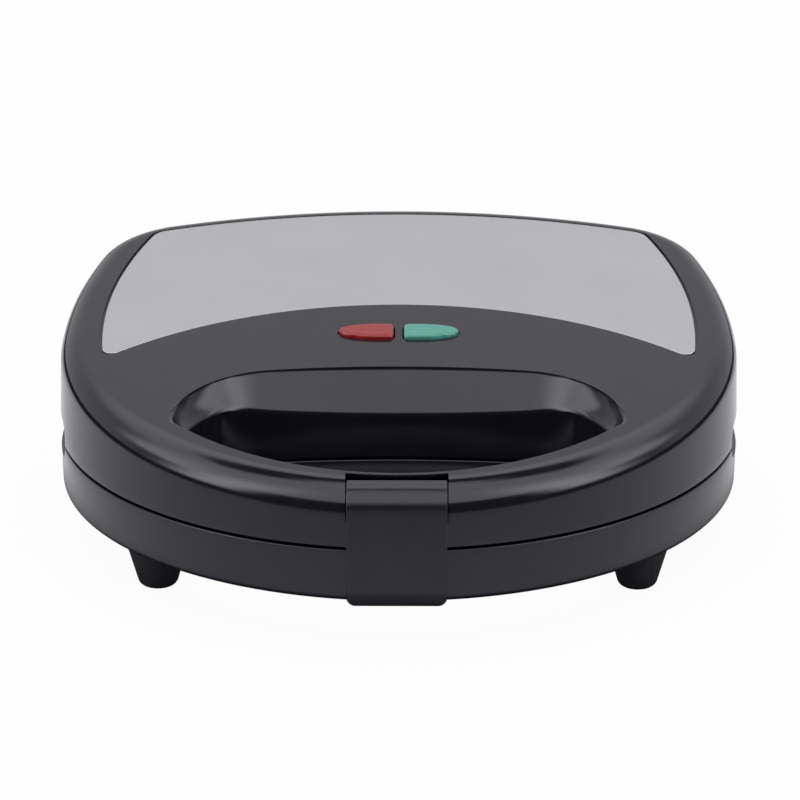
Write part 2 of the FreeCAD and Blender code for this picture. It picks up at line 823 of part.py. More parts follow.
def slot_outline(item, length, height):
    """A slot with round ends, centred on the sketch's origin."""
    radius, reach = height / 2, (length - height) / 2
    half, ends = radius.value, (V(reach.value, 0, 0), V(-reach.value, 0, 0))
    quarter = math.pi / 2
    edges = [
        arc(ends[0], half, -quarter, quarter),
        Part.LineSegment(ends[0] + V(0, half, 0), ends[1] + V(0, half, 0)),
        arc(ends[1], half, quarter, quarter * 3),
        Part.LineSegment(ends[1] - V(0, half, 0), ends[0] - V(0, half, 0)),
    ]
    right, high, left, low = draw(item, edges, smooth=True)
    measure(item, "Radius", radius, right)
    for number, x in ((right, reach), (left, -reach)):
        measure(item, "DistanceX", x, -1, 1, number, 3)
        item.addConstraint(Sketcher.Constraint("PointOnObject", number, 3, -1))


def vents(name):
    """A rounded slot through each side wall across the seam, a little more of it in the lid."""
    cuts = []
    for side in (-HALF, HALF):
        owner = body(name + "_slot")
        profile = sketch(owner, name + "_profile", plane="YZ_Plane")
        slot_outline(profile, S.vent_length, S.vent_height)
        pad(owner, profile, S.vent_reach * 2, name + "_way", both=True)
        cuts.append(place(owner, x=side, y=WIDE_Y - S.vent_ahead, z=SEAM_Z + S.vent_rise))
    return cuts


def latch_room(name, back, floor, top):
    """The space in a shell's front that the latch lies in, with room at its sides."""
    half = S.latch_half_width + S.latch_gap
    return box(name, (-half, WIDE_Y - HALF - LATCH_FRONT, floor), (half, WIDE_Y - back, top))


def latch_core(name, low, high):
    """The solid stretch of the front bar around the latch."""
    half = S.latch_half_width + S.latch_gap + S.latch_pin_grip
    rear = GRIP_FRONT - S.grip_inset - S.wall * 2
    return box(name, (-half, WIDE_Y - HALF - S.overrun, low), (half, WIDE_Y - rear, high))


def partition(name, low, high):
    """The wall across a shell between the plate and the hand opening."""
    return box(name, (-HALF, WIDE_Y - PARTITION - S.wall, low), (HALF, WIDE_Y - PARTITION, high))


def knuckle(name, centre, width, side):
    """One hinge knuckle: a round end on the hinge's axis, with an arm to the rear wall beside the seam."""
    owner = body(name)
    profile = sketch(owner, name + "_profile", plane="YZ_Plane")
    radius = S.knuckle_radius
    root = -(S.ear_root + S.hinge_behind)
    edge = S.seam_gap / 2 * side
    polygon(profile, [(root, edge), (-radius, edge), (ZERO, -radius * side), (ZERO, radius * side),
                      (root, S.ear_drop * side)])
    pad(owner, profile, width, name + "_arm", both=True)
    place(owner, x=centre, y=HINGE_Y, z=SEAM_Z)
    end = cylinder(name + "_end", radius, width, centre - width / 2, HINGE_Y, SEAM_Z, ALONG_X)
    return fuse(name + "_whole", [owner, end])


def hinge_bore(name, radius, centre):
    """A hole along one hinge's axis, through its knuckle and both ears."""
    length = S.knuckle_width + (S.ear_width + S.ear_gap + S.overrun) * 2
    return cylinder(name, radius, length, centre - length / 2, HINGE_Y, SEAM_Z, ALONG_X)


def feet_places():
    """The four feet, with their names."""
    return [("foot_front_left", -FOOT_X, -FOOT_FRONT), ("foot_front_right", FOOT_X, -FOOT_FRONT),
            ("foot_rear_left", -REAR_FOOT_X, FOOT_REAR), ("foot_rear_right", REAR_FOOT_X, FOOT_REAR)]


def base_shell():
    """The lower moulding: skirt, pan, half of the hand opening, bosses, posts and hinge ears."""
    outer = fuse("base_outer", [skirt_block("base_block", ZERO, S.skirt_height, S.skirt_roll),
                                pan_block("pan_outer", ZERO, S.pan_depth, S.wall)])
    hollow = skirt_block("base_hollow", S.wall, S.skirt_height - S.wall, S.skirt_roll)
    kept = fuse("base_kept", [grip_prism("base_collar", -S.wall), latch_core("base_latch_core", ZERO, RIM_Z),
                              partition("base_partition", ZERO, RIM_Z)])
    pan_room = pan_block("pan_hollow", S.wall, S.pan_depth - S.wall, S.wall * 2)
    cavity = fuse("base_cavity", [cut("base_room", hollow, kept), pan_room])
    hook_floor = LATCH_FRONT - S.latch_sheet - S.hook_reach - S.latch_clear
    hook_half = S.hook_half_width + S.latch_clear
    hook_room = box("hook_room", (-hook_half, WIDE_Y - HALF, HOOK_LOW - S.latch_clear * 2),
                    (hook_half, WIDE_Y - hook_floor, HOOK_LOW + S.hook_height + S.latch_clear / 2))
    recess = latch_room("base_latch_room", LATCH_FRONT - S.latch_sheet - S.latch_clear, ZERO, LID_Z)
    shell = carve("base_hollowed", outer, [cavity, grip_prism("base_grip", ZERO),
                                           fuse("base_recesses", [hook_room, recess] + vents("base_vent"))])
    added, holes = [], []
    lug_z = LOWER_FACE_Z - S.plate_rim - S.lug_height
    for number, (x, along) in enumerate(LUG_PLACES):
        foot = S.skirt_bottom - S.pan_depth if number == 0 else S.skirt_bottom
        y = WIDE_Y + along
        added.append(cylinder("base_boss", S.boss_radius, lug_z - foot, x, y, foot))
        head = S.screw_head_radius + S.screw_clear
        holes.append(cylinder("base_counterbore", head, lug_z - S.boss_floor - foot + S.overrun,
                              x, y, foot - S.overrun))
        holes.append(cylinder("base_screw_hole", S.screw_radius + S.screw_clear, lug_z - foot + S.overrun,
                              x, y, foot))
    pan_floor = S.skirt_bottom - S.pan_depth + S.wall
    tray_low = LOWER_FACE_Z - HEATER_BACK - S.reflector_sheet
    for x, along in POST_PLACES:
        sunk = S.wall / 2
        added.append(cylinder("base_post", S.post_radius, tray_low - pan_floor + sunk, x, WIDE_Y + along,
                              pan_floor - sunk))
    for centre in (-S.hinge_x, S.hinge_x):
        aside = S.knuckle_width / 2 + S.ear_gap + S.ear_width / 2
        for offset in (-aside, aside):
            added.append(knuckle("base_ear", centre + offset, S.ear_width, -1))
        holes.append(hinge_bore("base_hinge_bore", S.hinge_pin_radius + S.pin_seat_clear, centre))
    for name, x, along in feet_places():
        holes.append(cylinder("base_" + name, S.foot_peg_radius + S.foot_peg_clear, S.wall + S.overrun * 2,
                              x, WIDE_Y + along, S.skirt_bottom - S.overrun))
    wall_y = WIDE_Y + S.body_back
    holes.append(cylinder("gland_hole", S.gland_sleeve, S.wall * 4, ZERO, wall_y - S.wall * 3, GLAND_Z,
                          ALONG_Y))
    for name, seat_y in (("gland_outer_seat", wall_y - S.gland_seat),
                         ("gland_inner_seat", wall_y - S.wall - S.overrun)):
        holes.append(cylinder(name, S.gland_flange + S.pin_clear, S.overrun, ZERO, seat_y, GLAND_Z, ALONG_Y))
    whole = fuse("base_whole", [shell] + added)
    return sub_part(carve("base_clear", whole, [fuse("base_holes", holes)]), "base_shell")


def lid_shell():
    """The upper moulding: sloping top, hand opening with drawn-in walls, latch notch, bosses and knuckles."""
    outer = shell_block("lid_block", ZERO, ZERO, S.top_roll)
    hollow = shell_block("lid_hollow", S.wall, S.wall, S.top_roll - S.wall)
    tall = top_height(S.body_back)
    kept = fuse("lid_kept", [grip_loft("lid_collar", -S.wall), latch_core("lid_latch_core", LID_Z, tall),
                             partition("lid_partition", LID_Z, tall)])
    notch = cut("lid_notch", latch_room("lid_notch_room", GRIP_FRONT - S.grip_inset, NOTCH_FLOOR, tall),
                grip_loft("lid_rim_wall", -S.notch_rim_wall))
    recess = latch_room("lid_latch_room", LATCH_FRONT - S.latch_sheet - S.latch_clear, ZERO, tall)
    seat = steel_body("steel_seat", S.steel_gap, -S.steel_recess, S.overrun)
    lens_holes = [lens_body("lens_hole", side, S.lens_clear, -S.wall * 2, S.overrun, None)
                  for side in (-1, 1)]
    shell = carve("lid_hollowed", outer, [cut("lid_room", hollow, kept), grip_loft("lid_grip", ZERO),
                                          fuse("lid_recesses", [notch, recess]),
                                          fuse("lid_seats", [seat] + lens_holes + vents("lid_vent"))])
    added, holes = [], []
    lug_z = UPPER_FACE_Z + S.plate_rim + S.lug_height
    for x, along in LUG_PLACES:
        y = WIDE_Y + along
        head = S.screw_head_radius + S.screw_clear
        under = top_height(along) - S.wall
        added.append(cylinder("lid_boss", S.boss_radius, under - lug_z + S.wall / 4, x, y, lug_z))
        deep = under - lug_z + S.overrun * 2
        holes.append(cylinder("lid_counterbore", head, deep, x, y, lug_z + S.boss_floor))
        holes.append(cylinder("lid_screw_hole", S.screw_radius + S.screw_clear, under - lug_z, x, y,
                              lug_z - S.overrun))
    tray_high = UPPER_FACE_Z + HEATER_BACK + S.reflector_sheet
    for x, along in POST_PLACES:
        added.append(cylinder("lid_post", S.post_radius, top_height(along) - S.wall * 2 / 3 - tray_high,
                              x, WIDE_Y + along, tray_high))
    for centre in (-S.hinge_x, S.hinge_x):
        added.append(knuckle("lid_knuckle", centre, S.knuckle_width, 1))
        holes.append(hinge_bore("lid_hinge_bore", S.hinge_pin_radius + S.pin_clear, centre))
    holes.append(latch_bore("lid_latch_bore", S.latch_pin_radius + S.pin_seat_clear, S.pin_clear))
    whole = fuse("lid_whole", [shell] + added)
    clear = carve("lid_clear", whole, [fuse("lid_holes", holes)])
    rim = DOC.addObject("Part::Fillet", "lid_rim")
    rim.Base = clear
    rim.Edges = [(int(name[4:]), S.rim_round.value, S.rim_round.value)
                 for name in edges_where(clear.Shape, on_grip_rim)]
    return sub_part(rim, "lid_shell")


RIM_TEST_SHARES = (0.1, 0.5, 0.9)


def on_grip_rim(edge):
    """True for an edge where the hand opening breaks through the lid's top."""
    low, high = edge.ParameterRange
    for share in RIM_TEST_SHARES:
        point = edge.valueAt(low + (high - low) * share)
        along = point.y - WIDE_Y.value
        off_top = point.z - TOP_Z.value - TOP_RISE.value * along
        if abs(off_top) > Precision.length or along < -GRIP_FRONT.value:
            return False
        if along > S.overrun.value - S.grip_rear.value or abs(point.x) > GRIP_HALF.value:
            return False
    return True


# Pieces on the lid's top

def on_top(item):
    """Lay a body on the lid's sloping top."""
    return place(item, y=WIDE_Y, z=TOP_Z, turn=TILTED)


def steel_body(name, grow, low, high):
    """The steel plate, or the seat for it, between two levels of the lid's top."""
    owner = body(name)
    plan = sketch(owner, name + "_plan", lift=low)
    steel_outline(plan, grow)
    pad(owner, plan, high - low, name + "_sheet")
    uprights = edges_where(owner.Shape, upright_edge)
    middle = S.body_back.value / 2
    fronts = [edge for edge in uprights if owner.Shape.getElement(edge).CenterOfMass.y < middle]
    fillet(owner, S.steel_front_corner + grow, name + "_front_corners", fronts)
    rears = edges_where(owner.Shape, lambda edge: upright_edge(edge) and edge.CenterOfMass.y > middle)
    fillet(owner, S.steel_rear_corner + grow, name + "_rear_corners", rears)
    return on_top(owner)


def steel_top_plate():
    """Bare satin steel sheet that lies in a shallow seat at the back of the lid's top."""
    plate = steel_body("steel_sheet", ZERO, -S.steel_recess, S.steel_thickness - S.steel_recess)
    high = S.steel_thickness - S.steel_recess
    fillet(plate, S.steel_round, "steel_edge", faces_where(plate.Tip.Shape, level_face(high)))
    return sub_part(plate, "steel_top_plate")


def lens_body(name, side, grow, low, high, edge_round):
    """One lamp lens, or the hole for it, between two levels of the lid's top."""
    owner = body(name)
    plan = sketch(owner, name + "_plan", lift=low)
    lens_outline(plan, side, grow)
    pad(owner, plan, high - low, name + "_block")
    inner = (S.lens_space + S.lens_straight).value / 2
    corners = edges_where(owner.Shape, lambda edge: upright_edge(edge) and abs(edge.CenterOfMass.x) < inner)
    fillet(owner, S.lens_corner + grow, name + "_corners", corners)
    if edge_round:
        fillet(owner, edge_round, name + "_dome", faces_where(owner.Shape, level_face(high)))
    return on_top(owner)


def lenses():
    """Red lens on the left and green on the right, proud of the lid with rounded shoulders."""
    for label, side in (("red_lens", -1), ("green_lens", 1)):
        lens = lens_body(label + "_body", side, ZERO, -S.wall - S.lens_stem, S.lens_rise, S.lens_round)
        sub_part(lens, label)


def lamp_holder():
    """Two-chamber box against the underside of the lid's top that holds the lamps under their lenses."""
    owner = body("lamp_holder_body")
    plan = sketch(owner, "lamp_holder_plan", lift=-S.wall)
    half, deep, ahead = S.holder_half_width, S.holder_half_depth, S.lens_ahead
    rectangle(plan, (-half, -ahead - deep), (half, deep - ahead))
    pad(owner, plan, S.holder_height, "lamp_holder_block", down=True)
    fillet(owner, S.holder_corner, "lamp_holder_corners", edges_where(owner.Shape, upright_edge))
    room = sketch(owner, "lamp_holder_rooms", lift=-S.wall)
    thin = S.holder_wall
    for low, high in ((thin - half, -thin / 2), (thin / 2, half - thin)):
        rectangle(room, (low, thin - ahead - deep), (high, deep - ahead - thin))
    pocket(owner, room, S.holder_height - thin, "lamp_holder_chambers")
    sub_part(on_top(owner), "lamp_holder")


def neon_lamps():
    """A glass capsule lying in each chamber of the holder."""
    for label, side in (("red_neon_lamp", -1), ("green_neon_lamp", 1)):
        owner = body(label + "_body")
        floor = -S.wall - S.holder_height + S.holder_wall
        profile = sketch(owner, label + "_profile", plane="XZ_Plane", lift=S.lens_ahead)
        middle = S.lens_space / 2 + S.lens_length / 2
        centre = middle if side > 0 else -middle
        radius, half = S.lamp_radius, S.lamp_length / 2
        low, high = floor + radius, floor + radius * 2
        flat = half - radius
        left, right = (centre - flat).value, (centre + flat).value
        quarter = math.pi / 2
        edges = [
            Part.LineSegment(V(left - radius.value, low.value, 0), V(right + radius.value, low.value, 0)),
            arc(V(right, low.value, 0), radius.value, 0, quarter),
            Part.LineSegment(V(right, high.value, 0), V(left, high.value, 0)),
            arc(V(left, low.value, 0), radius.value, quarter, math.pi),
        ]
        numbers = draw(profile, edges, smooth=False)
        for number in (numbers[1], numbers[3]):
            measure(profile, "Radius", radius, number)
        turn = owner.newObject("PartDesign::Revolution", label + "_glass")
        turn.Profile = profile
        turn.ReferenceAxis = (profile, ["Edge1"])
        turn.Angle = 360
        DOC.recompute()
        sub_part(on_top(owner), label)


# Latch

def latch():
    """Clip that hooks under a ledge in the base: a rolled top on a cross pin and a plate down the front."""
    owner = body("latch_body")
    profile = sketch(owner, "latch_profile", plane="YZ_Plane")
    front, inner = -LATCH_FRONT, S.latch_sheet - LATCH_FRONT
    roll_y, roll_z = S.latch_roll - LATCH_FRONT, LATCH_TOP - S.latch_roll
    points = [
        (roll_y, LATCH_TOP), (front, roll_z), (front, LATCH_CREASE), (front + S.latch_tuck, LATCH_BOTTOM),
        (inner, LATCH_BOTTOM), (inner, LATCH_HEEL), (-LATCH_PIN_Y, LATCH_THROAT),
        (-LATCH_BACK, LATCH_THROAT), (-LATCH_BACK, LATCH_TOP),
    ]
    corners = [V(y.value, z.value, 0) for y, z in points]
    roll = arc(V(roll_y.value, roll_z.value, 0), S.latch_roll.value, math.pi / 2, math.pi)
    sides = [Part.LineSegment(start, end) for start, end in zip(corners[1:], corners[2:] + corners[:1])]
    numbers = draw(profile, [roll] + sides, smooth=False)
    for number, (y, z) in zip(numbers[2:], points[2:]):
        measure(profile, "DistanceX", y, -1, 1, number, 1)
        measure(profile, "DistanceY", z, -1, 1, number, 1)
    measure(profile, "Radius", S.latch_roll, numbers[0])
    measure(profile, "DistanceX", roll_y, -1, 1, numbers[0], 3)
    measure(profile, "DistanceY", roll_z, -1, 1, numbers[0], 3)
    measure(profile, "DistanceX", roll_y, -1, 1, numbers[0], 1)
    measure(profile, "DistanceY", roll_z, -1, 1, numbers[0], 2)
    pad(owner, profile, S.latch_half_width * 2, "latch_plate", both=True)
    low = LATCH_BOTTOM.value
    corner_edges = edges_where(owner.Shape, lambda edge: edge.BoundBox.ZMax - low < Precision.length
                               and edge.BoundBox.XLength < Precision.length)
    fillet(owner, S.latch_corner, "latch_corners", corner_edges)
    place(owner, y=WIDE_Y)
    hook_y = WIDE_Y + inner
    hook = box("latch_hook", (-S.hook_half_width, hook_y - S.latch_sheet / 2, HOOK_LOW),
               (S.hook_half_width, hook_y + S.hook_reach, HOOK_LOW + S.hook_height))
    whole = fuse("latch_whole", [owner, hook])
    bored = cut("latch_bored", whole, latch_bore("latch_bore", S.latch_pin_radius + S.pin_clear, S.overrun))
    return sub_part(bored, "latch")


def latch_bore(name, radius, extra):
    """A hole, or the pin, along the latch's axis."""
    half = S.latch_half_width + S.latch_gap + S.latch_pin_grip + extra
    return cylinder(name, radius, half * 2, -half, WIDE_Y - LATCH_PIN_Y, LATCH_PIN_Z, ALONG_X)


# Cooking plates, heaters and reflectors

def facing(item, upper):
    """Lay a piece in the base, or turned over in the lid, with its cooking face at the seam."""
    turn = UPSIDE_DOWN if upper else None
    return place(item, y=WIDE_Y, z=UPPER_FACE_Z if upper else LOWER_FACE_Z, turn=turn)


def cooking_plate(label, upper):
    """Die-cast plate: a flat rim, four triangular pockets with drafted walls, and lugs for its screws."""
    owner = body(label + "_body")
    plan = sketch(owner, label + "_plan")
    shell_outline(plan, S.plate_inset)
    pad(owner, plan, S.plate_rim, label + "_rim", down=True)
    front = sketch(owner, label + "_front")
    rectangle(front, (-S.body_width, -S.body_width), (S.body_width, -PLATE_FRONT))
    pocket(owner, front, S.plate_rim + S.overrun, label + "_front_edge")
    line = -PLATE_FRONT.value
    fronts = edges_where(owner.Shape, lambda edge: upright_edge(edge)
                         and abs(edge.CenterOfMass.y - line) < Precision.length)
    fillet(owner, S.plate_corner, label + "_front_corners", fronts)
    backs = sketch(owner, label + "_backs")
    cell_outlines(backs, S.plate_wall)
    pad(owner, backs, POCKET_BACK, label + "_cups", down=True, draft=S.pocket_draft)
    lugs = sketch(owner, label + "_lugs")
    for x, y in LUG_PLACES:
        circle(lugs, x, y, S.lug_radius)
    pad(owner, lugs, S.plate_rim + S.lug_height, label + "_lug_rise", down=True)
    rooms = sketch(owner, label + "_rooms")
    cell_outlines(rooms, ZERO)
    pocket(owner, rooms, S.pocket_depth, label + "_pockets", draft=S.pocket_draft)
    floors = faces_where(owner.Shape, level_face(-S.pocket_depth))
    fillet(owner, S.pocket_floor_round, label + "_floor_round", floors)
    holes = sketch(owner, label + "_holes", lift=-S.plate_rim / 2)
    for x, y in LUG_PLACES:
        circle(holes, x, y, S.screw_radius)
    pocket(owner, holes, S.plate_rim + S.lug_height, label + "_screw_holes")
    sub_part(facing(owner, upper), label)


def heater(label, upper):
    """Sheathed heating tube bent to a U against the back of the pockets, with a cold pin at each end."""
    level = -POCKET_BACK - S.heater_radius
    wide, front, rear = HEATER_HALF.value, -HEATER_FRONT.value, HEATER_REAR.value
    bend, deep = S.heater_bend.value, level.value
    quarter = bend * (1 - math.sqrt(0.5))
    points = {
        "left_end": V(-wide, rear, deep), "left_bend": V(-wide, front + bend, deep),
        "left_middle": V(-wide + quarter, front + quarter, deep), "front_left": V(-wide + bend, front, deep),
        "front_right": V(wide - bend, front, deep), "right_middle": V(wide - quarter, front + quarter, deep),
        "right_bend": V(wide, front + bend, deep), "right_end": V(wide, rear, deep),
    }
    path = Part.Wire([
        Part.LineSegment(points["left_end"], points["left_bend"]).toShape(),
        Part.Arc(points["left_bend"], points["left_middle"], points["front_left"]).toShape(),
        Part.LineSegment(points["front_left"], points["front_right"]).toShape(),
        Part.Arc(points["front_right"], points["right_middle"], points["right_bend"]).toShape(),
        Part.LineSegment(points["right_bend"], points["right_end"]).toShape(),
    ])
    ring = Part.Wire([Part.Circle(points["left_end"], V(0, 1, 0), S.heater_radius.value).toShape()])
    tube = path.makePipeShell([ring], True, False)
    pins = [Part.makeCylinder(S.cold_pin_radius.value, S.cold_pin_length.value, points[end], V(0, 1, 0))
            for end in ("left_end", "right_end")]
    item = DOC.addObject("Part::Feature", label + "_tube")
    item.Shape = tube.fuse(pins).removeSplitter()
    sub_part(facing(item, upper), label)


def reflector(label, upper):
    """Shallow sheet tray that backs the heater, with a hole for the middle boss."""
    owner = body(label + "_body")
    level = -HEATER_BACK - S.reflector_sheet
    wide, front, rear = REFLECTOR_HALF, REFLECTOR_FRONT, REFLECTOR_REAR
    plan = sketch(owner, label + "_plan", lift=level)
    rectangle(plan, (-wide, -front), (wide, rear))
    pad(owner, plan, S.reflector_lip + S.reflector_sheet, label + "_block")
    fillet(owner, S.reflector_corner, label + "_corners", edges_where(owner.Shape, upright_edge))
    top = level + S.reflector_lip + S.reflector_sheet
    block = owner.Tip
    skin = owner.newObject("PartDesign::Thickness", label + "_tray")
    skin.Base = (block, faces_where(block.Shape, level_face(top)))
    bind(skin, Value=S.reflector_sheet)
    skin.Reversed = True
    DOC.recompute()
    hole = sketch(owner, label + "_hole", lift=top)
    circle(hole, ZERO, S.lug_middle, S.reflector_hole)
    if upper:
        for side in (-CONTROL_X, CONTROL_X):
            circle(hole, side, S.control_y, S.thermostat_radius + S.control_clear)
    pocket(owner, hole, S.reflector_lip + S.overrun, label + "_openings")
    sub_part(facing(owner, upper), label)


def plate_screws():
    """Three pan-head screws through each shell's bosses into its plate's lugs."""
    for label, upper in (("base_screws", False), ("lid_screws", True)):
        deep = S.plate_rim + S.lug_height
        lug_z = UPPER_FACE_Z + deep if upper else LOWER_FACE_Z - deep
        solids = []
        for x, along in LUG_PLACES:
            y = WIDE_Y + along
            if upper:
                head_z = lug_z + S.boss_floor
                shank_z = head_z - S.screw_length / 2 - S.boss_floor / 2
            else:
                head_z = lug_z - S.boss_floor - S.screw_head_height
                shank_z = head_z + S.screw_head_height
            length = S.screw_length / 2 + S.boss_floor / 2
            head = cylinder(label + "_head", S.screw_head_radius, S.screw_head_height, x, y, head_z)
            shank = cylinder(label + "_shank", S.screw_radius, length, x, y, shank_z)
            solids.append(fuse(label + "_screw", [head, shank]))
        group = DOC.addObject("Part::Compound", label + "_group")
        group.Links = solids
        sub_part(group, label)


# Small pieces inside

def thermostat():
    """Bimetal thermostat clamped on the back of the upper plate, with two blade terminals."""
    x, y, z = CONTROL_X, WIDE_Y + S.control_y, UPPER_FACE_Z + POCKET_BACK
    case = cylinder("thermostat_case", S.thermostat_radius, S.thermostat_height, x, y, z)
    flange = box("thermostat_flange", (x - S.thermostat_radius / 2, y - S.thermostat_flange, z),
                 (x + S.thermostat_radius / 2, y + S.thermostat_flange, z + S.thermostat_sheet))
    blades = []
    for side in (-S.blade_offset, S.blade_offset):
        blades.append(box("thermostat_blade", (x + side - S.blade_sheet / 2, y - S.blade_width / 2,
                                               z + S.thermostat_height / 2),
                          (x + side + S.blade_sheet / 2, y + S.blade_width / 2,
                           z + S.thermostat_height + S.blade_height)))
    sub_part(fuse("thermostat_whole", [case, flange] + blades), "thermostat")


def thermal_fuse():
    """One-shot fuse lying on the back of the upper plate under a sprung clip, with a lead at each end."""
    x, y, z = -CONTROL_X, WIDE_Y + S.control_y, UPPER_FACE_Z + POCKET_BACK
    axis_z = z + S.fuse_radius
    case = cylinder("fuse_case", S.fuse_radius, S.fuse_length, x - S.fuse_length / 2, y, axis_z, ALONG_X)
    reach = S.fuse_length / 2 + S.fuse_lead_length
    leads = cylinder("fuse_leads", S.fuse_lead_radius, reach * 2, x - reach, y, axis_z, ALONG_X)
    half = S.clip_width / 2
    wide = S.fuse_radius + S.clip_sheet
    arch = cylinder("fuse_clip_arch", wide, S.clip_width, x - half, y, axis_z, ALONG_X)
    saddle = box("fuse_clip_saddle", (x - half, y - wide, z), (x + half, y + wide, axis_z))
    ears = box("fuse_clip_ears", (x - half, y - wide - S.clip_ear, z),
               (x + half, y + wide + S.clip_ear, z + S.clip_sheet))
    arch_low = box("fuse_clip_trim", (x - half, y - wide, z - wide), (x + half, y + wide, z))
    clip = cut("fuse_clip", fuse("fuse_clip_solid", [arch, saddle, ears]), arch_low)
    sub_part(fuse("fuse_whole", [case, leads, clip]), "thermal_fuse")


def terminal_block():
    """Two-way screw terminal on the floor of the pan, where the supply is joined to the heaters."""
    owner = body("terminal_block_body")
    plan = sketch(owner, "terminal_plan")
    rectangle(plan, (-S.block_half_width, BLOCK_REAR - S.block_depth), (S.block_half_width, BLOCK_REAR))
    pad(owner, plan, S.block_height, "terminal_rise")
    fillet(owner, S.block_round, "terminal_edges", faces_where(owner.Shape, level_face(S.block_height)))
    wells = sketch(owner, "terminal_wells", lift=S.block_height)
    for side in (-S.block_pitch / 2, S.block_pitch / 2):
        circle(wells, side, BLOCK_REAR - S.block_depth / 2, S.block_hole_radius)
    pocket(owner, wells, S.block_height / 2, "terminal_screw_wells")
    ways = sketch(owner, "terminal_ways", plane="XZ_Plane", lift=-BLOCK_REAR)
    for side in (-S.block_pitch / 2, S.block_pitch / 2):
        circle(ways, side, S.block_height / 3, S.block_hole_radius)
    before = owner.Shape.Volume
    way = owner.newObject("PartDesign::Pocket", "terminal_wire_ways")
    way.Profile = ways
    way.Type = "ThroughAll"
    way.Midplane = True
    DOC.recompute()
    if owner.Shape.Volume >= before:
        raise RuntimeError("the wire ways cut nothing")
    sub_part(place(owner, y=WIDE_Y, z=S.skirt_bottom - S.pan_depth + S.wall), "terminal_block")


def cord_gland():
    """Bush in the base's rear wall with a flange on each side, where a supply cord would enter."""
    owner = body("cord_gland_body")
    profile = sketch(owner, "cord_gland_profile")
    bore, sleeve, flange = S.gland_bore, S.gland_sleeve, S.gland_flange
    through = S.wall - S.gland_seat
    inner = -through - S.gland_inner_sheet
    polygon(profile, [(bore, inner), (flange, inner), (flange, -through), (sleeve, -through), (sleeve, ZERO),
                      (flange, ZERO), (flange, S.gland_flange_sheet), (bore, S.gland_flange_sheet)])
    turn = owner.newObject("PartDesign::Revolution", "cord_gland_turned")
    turn.Profile = profile
    turn.ReferenceAxis = (profile, ["V_Axis"])
    turn.Angle = 360
    DOC.recompute()
    out = S.gland_flange_sheet.value
    lips = edges_where(owner.Shape, lambda edge: edge.BoundBox.YMin > out - Precision.length
                       and edge.BoundBox.XLength > S.gland_sleeve.value * 2)
    fillet(owner, S.gland_round, "cord_gland_lip", lips)
    sub_part(place(owner, y=WIDE_Y + S.body_back - S.gland_seat, z=GLAND_Z), "cord_gland")


def feet():
    """Four tapered rubber feet, each with a barbed peg up through the base's floor."""
    low, high, tall = S.foot_low_radius, S.foot_high_radius, S.skirt_bottom
    for label, x, along in feet_places():
        owner = body(label + "_body")
        profile = sketch(owner, label + "_profile", plane="XZ_Plane")
        peg, head = S.foot_peg_radius, S.foot_peg_head
        barb = tall + S.wall
        polygon(profile, [(ZERO, ZERO), (low, ZERO), (high, tall), (peg, tall), (peg, barb), (head, barb),
                          (peg, tall + S.foot_peg_height), (ZERO, tall + S.foot_peg_height)])
        turn = owner.newObject("PartDesign::Revolution", label + "_turned")
        turn.Profile = profile
        turn.ReferenceAxis = (profile, ["V_Axis"])
        turn.Angle = 360
        DOC.recompute()
        fillet(owner, S.foot_round, label + "_edge", faces_where(owner.Shape, level_face(ZERO)))
        sub_part(place(owner, x=x, y=WIDE_Y + along), label)


def pins():
    """The two hinge pins and the latch's pin."""
    length = S.knuckle_width + (S.ear_width + S.ear_gap) * 2
    for label, centre in (("hinge_pin_left", -S.hinge_x), ("hinge_pin_right", S.hinge_x)):
        sub_part(cylinder(label + "_rod", S.hinge_pin_radius, length, centre - length / 2, HINGE_Y, SEAM_Z,
                          ALONG_X), label)
    sub_part(latch_bore("latch_pin_rod", S.latch_pin_radius, ZERO), "latch_pin")


def write_parts():
    """Check every object, then write each piece to its own file."""
    DOC.recompute()
    for item in DOC.Objects:
        if "Invalid" in item.State or "Error" in item.State:
            raise RuntimeError("%s failed: %s" % (item.Label, item.State))
    for item in PARTS:
        if item.Shape.isNull() or not item.Shape.isValid():
            raise RuntimeError("%s has no valid shape" % item.Label)
    os.makedirs("parts", exist_ok=True)
    for item in PARTS:
        item.Shape.exportStep("parts/%s.step" % item.Label)
        print("%-24s %d solid(s) %.1f" % (item.Label, len(item.Shape.Solids), item.Shape.Volume))


base_shell()
lid_shell()
steel_top_plate()
lenses()
lamp_holder()
neon_lamps()
latch()
for side_name, is_upper in (("lower", False), ("upper", True)):
    cooking_plate(side_name + "_cooking_plate", is_upper)
    heater(side_name + "_heater", is_upper)
    reflector(side_name + "_reflector", is_upper)
plate_screws()
thermostat()
thermal_fuse()
terminal_block()
cord_gland()
feet()
pins()
write_parts()
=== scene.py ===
"""Looks of a two-slice sandwich maker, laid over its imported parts.

Metres, with +X to the user's right, +Y from the latch to the hinges and +Z up from the worktop. Plans are
drawn about the widest line of the shells, which lies a little behind the middle of the whole object.
"""
import math
from collections import namedtuple

import bmesh
import bpy
import numpy as np
from bpy.props import FloatProperty, FloatVectorProperty, PointerProperty
from mathutils import Matrix, Vector
from mathutils.geometry import delaunay_2d_cdt


